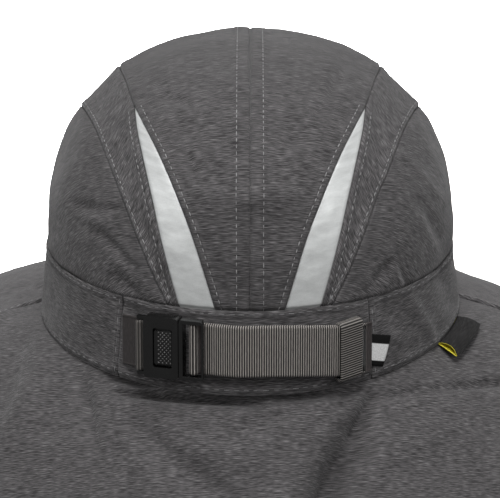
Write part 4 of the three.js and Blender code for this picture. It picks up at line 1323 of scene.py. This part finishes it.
def make_label():
    """A label folded in two over the cape: dark outside, yellow inside, open at its ends."""
    turn = np.linspace(0, 1, 61)
    around = np.where(turn < 0.5, turn * 2, 2 - turn * 2)
    bulge = np.sin(math.pi * np.clip(around, 0, 1)) ** 0.7
    rise = np.where(turn < 0.5, LABEL_CLOSE, LABEL_CLOSE + LABEL_BULGE * bulge)
    rise = rise + 0.35 * np.exp(-(((around - 1) / 0.06) ** 2)) * (turn >= 0.5)
    u = np.linspace(0, 1, 40)
    bearing = np.repeat((LABEL_FROM + (LABEL_TO - LABEL_FROM) * u)[:, None], len(turn), axis=1)
    span = skirt_reach(bearing)
    share = (SKIRT_TUCK - 0.8 + (LABEL_OUT + 1.4) * around[None, :]) / span
    base = skirt_point(bearing, share)
    step = 1e-3
    normal = np.cross(skirt_point(bearing + step, share) - base,
                      skirt_point(bearing, share + step) - base)
    normal /= np.linalg.norm(normal, axis=-1, keepdims=True)
    normal *= np.sign(normal[..., 2:3])
    open_end = 1 - 0.6 * u[:, None]
    points = base + normal * (rise[None, :] * open_end)[..., None]
    points[..., 2] += LABEL_RISE * around[None, :] * (1.2 - 0.4 * u[:, None])
    uvs = np.stack(np.meshgrid(u * LABEL_LENGTH, turn * 2 * LABEL_OUT, indexing="ij"), axis=-1)
    middle = points.mean(axis=1, keepdims=True)
    normals, turned = grid_normals(points, points - middle)
    made = sheet_object("side_label_folded", points, uvs, LABEL_WALL,
                        [LABEL_OUTSIDE, LABEL_INSIDE], turned, rim_finish=1, under_finish=1)
    keep(made, "label_cloth", "side_label")


# Stage

# Lamps by their place and aim in metres, size, watts and spread in degrees
Lamp = namedtuple("Lamp", "name place aim size watts spread", defaults=(180,))
LAMPS = (
    Lamp("overhead", (0.0, -0.35, 1.6), (0, 0, 0), 0.8, 12),
    Lamp("high_front", (0.0, -1.1, 1.45), (0, 0, 0), 0.45, 13),
    Lamp("left_key", (-1.25, -1.05, 0.95), (0, 0, 0), 0.7, 7.6),
    Lamp("right_fill", (1.25, -1.05, 0.95), (0, 0, 0), 0.7, 7.6),
    Lamp("far_left", (-1.4, 1.2, 0.6), (0, 0, 0), 0.6, 1.2),
    Lamp("floor_light", (0.0, 1.25, 0.8), (0, 1.1, -0.17), 0.8, 30, 90),
)


def set_stage():
    floor = bmesh.new()
    bmesh.ops.create_grid(floor, x_segments=8, y_segments=8, size=8)
    level = cad_bounds[0][2] - 0.002
    bmesh.ops.translate(floor, verts=floor.verts, vec=(0, 0, level))
    paper = new_finish("pale_floor", Roughness=0.9, Base_Color=(0.93, 0.93, 0.93, 1))[0]
    ground = mesh_object("floor", floor, [paper])
    ground.visible_diffuse = False
    ground.visible_glossy = False
    world = bpy.data.worlds.new("studio")
    world.use_nodes = True
    sky = world.node_tree.nodes["Background"].inputs
    sky["Color"].default_value = (1, 1, 1, 1)
    sky["Strength"].default_value = 0.2
    bpy.context.scene.world = world
    for lamp in LAMPS:
        data = bpy.data.lights.new(lamp.name, "AREA")
        data.size = lamp.size
        data.energy = lamp.watts
        data.spread = math.radians(lamp.spread)
        light = bpy.data.objects.new(lamp.name, data)
        light.location = lamp.place
        away = Vector(lamp.place) - Vector(lamp.aim)
        light.rotation_euler = away.to_track_quat("Z", "Y").to_euler()
        bpy.context.scene.collection.objects.link(light)
    bpy.context.scene.view_settings.view_transform = "Standard"


make_crown()
make_band()
make_skirt()
stitches("crown", "crown_cloth", 3.0, THREAD)
stitches("band", "band_cloth", 3.9, BAND_THREAD)
stitches("skirt", "cape_cloth", 3.0, THREAD)
make_strap()
make_anchor()
make_keeper()
moulded_copy("buckle_socket", SOCKET_EDGE)
moulded_copy("buckle_insert", INSERT_EDGE, PAD_SHORTER)
make_pad()
make_tag()
make_label()
set_stage()
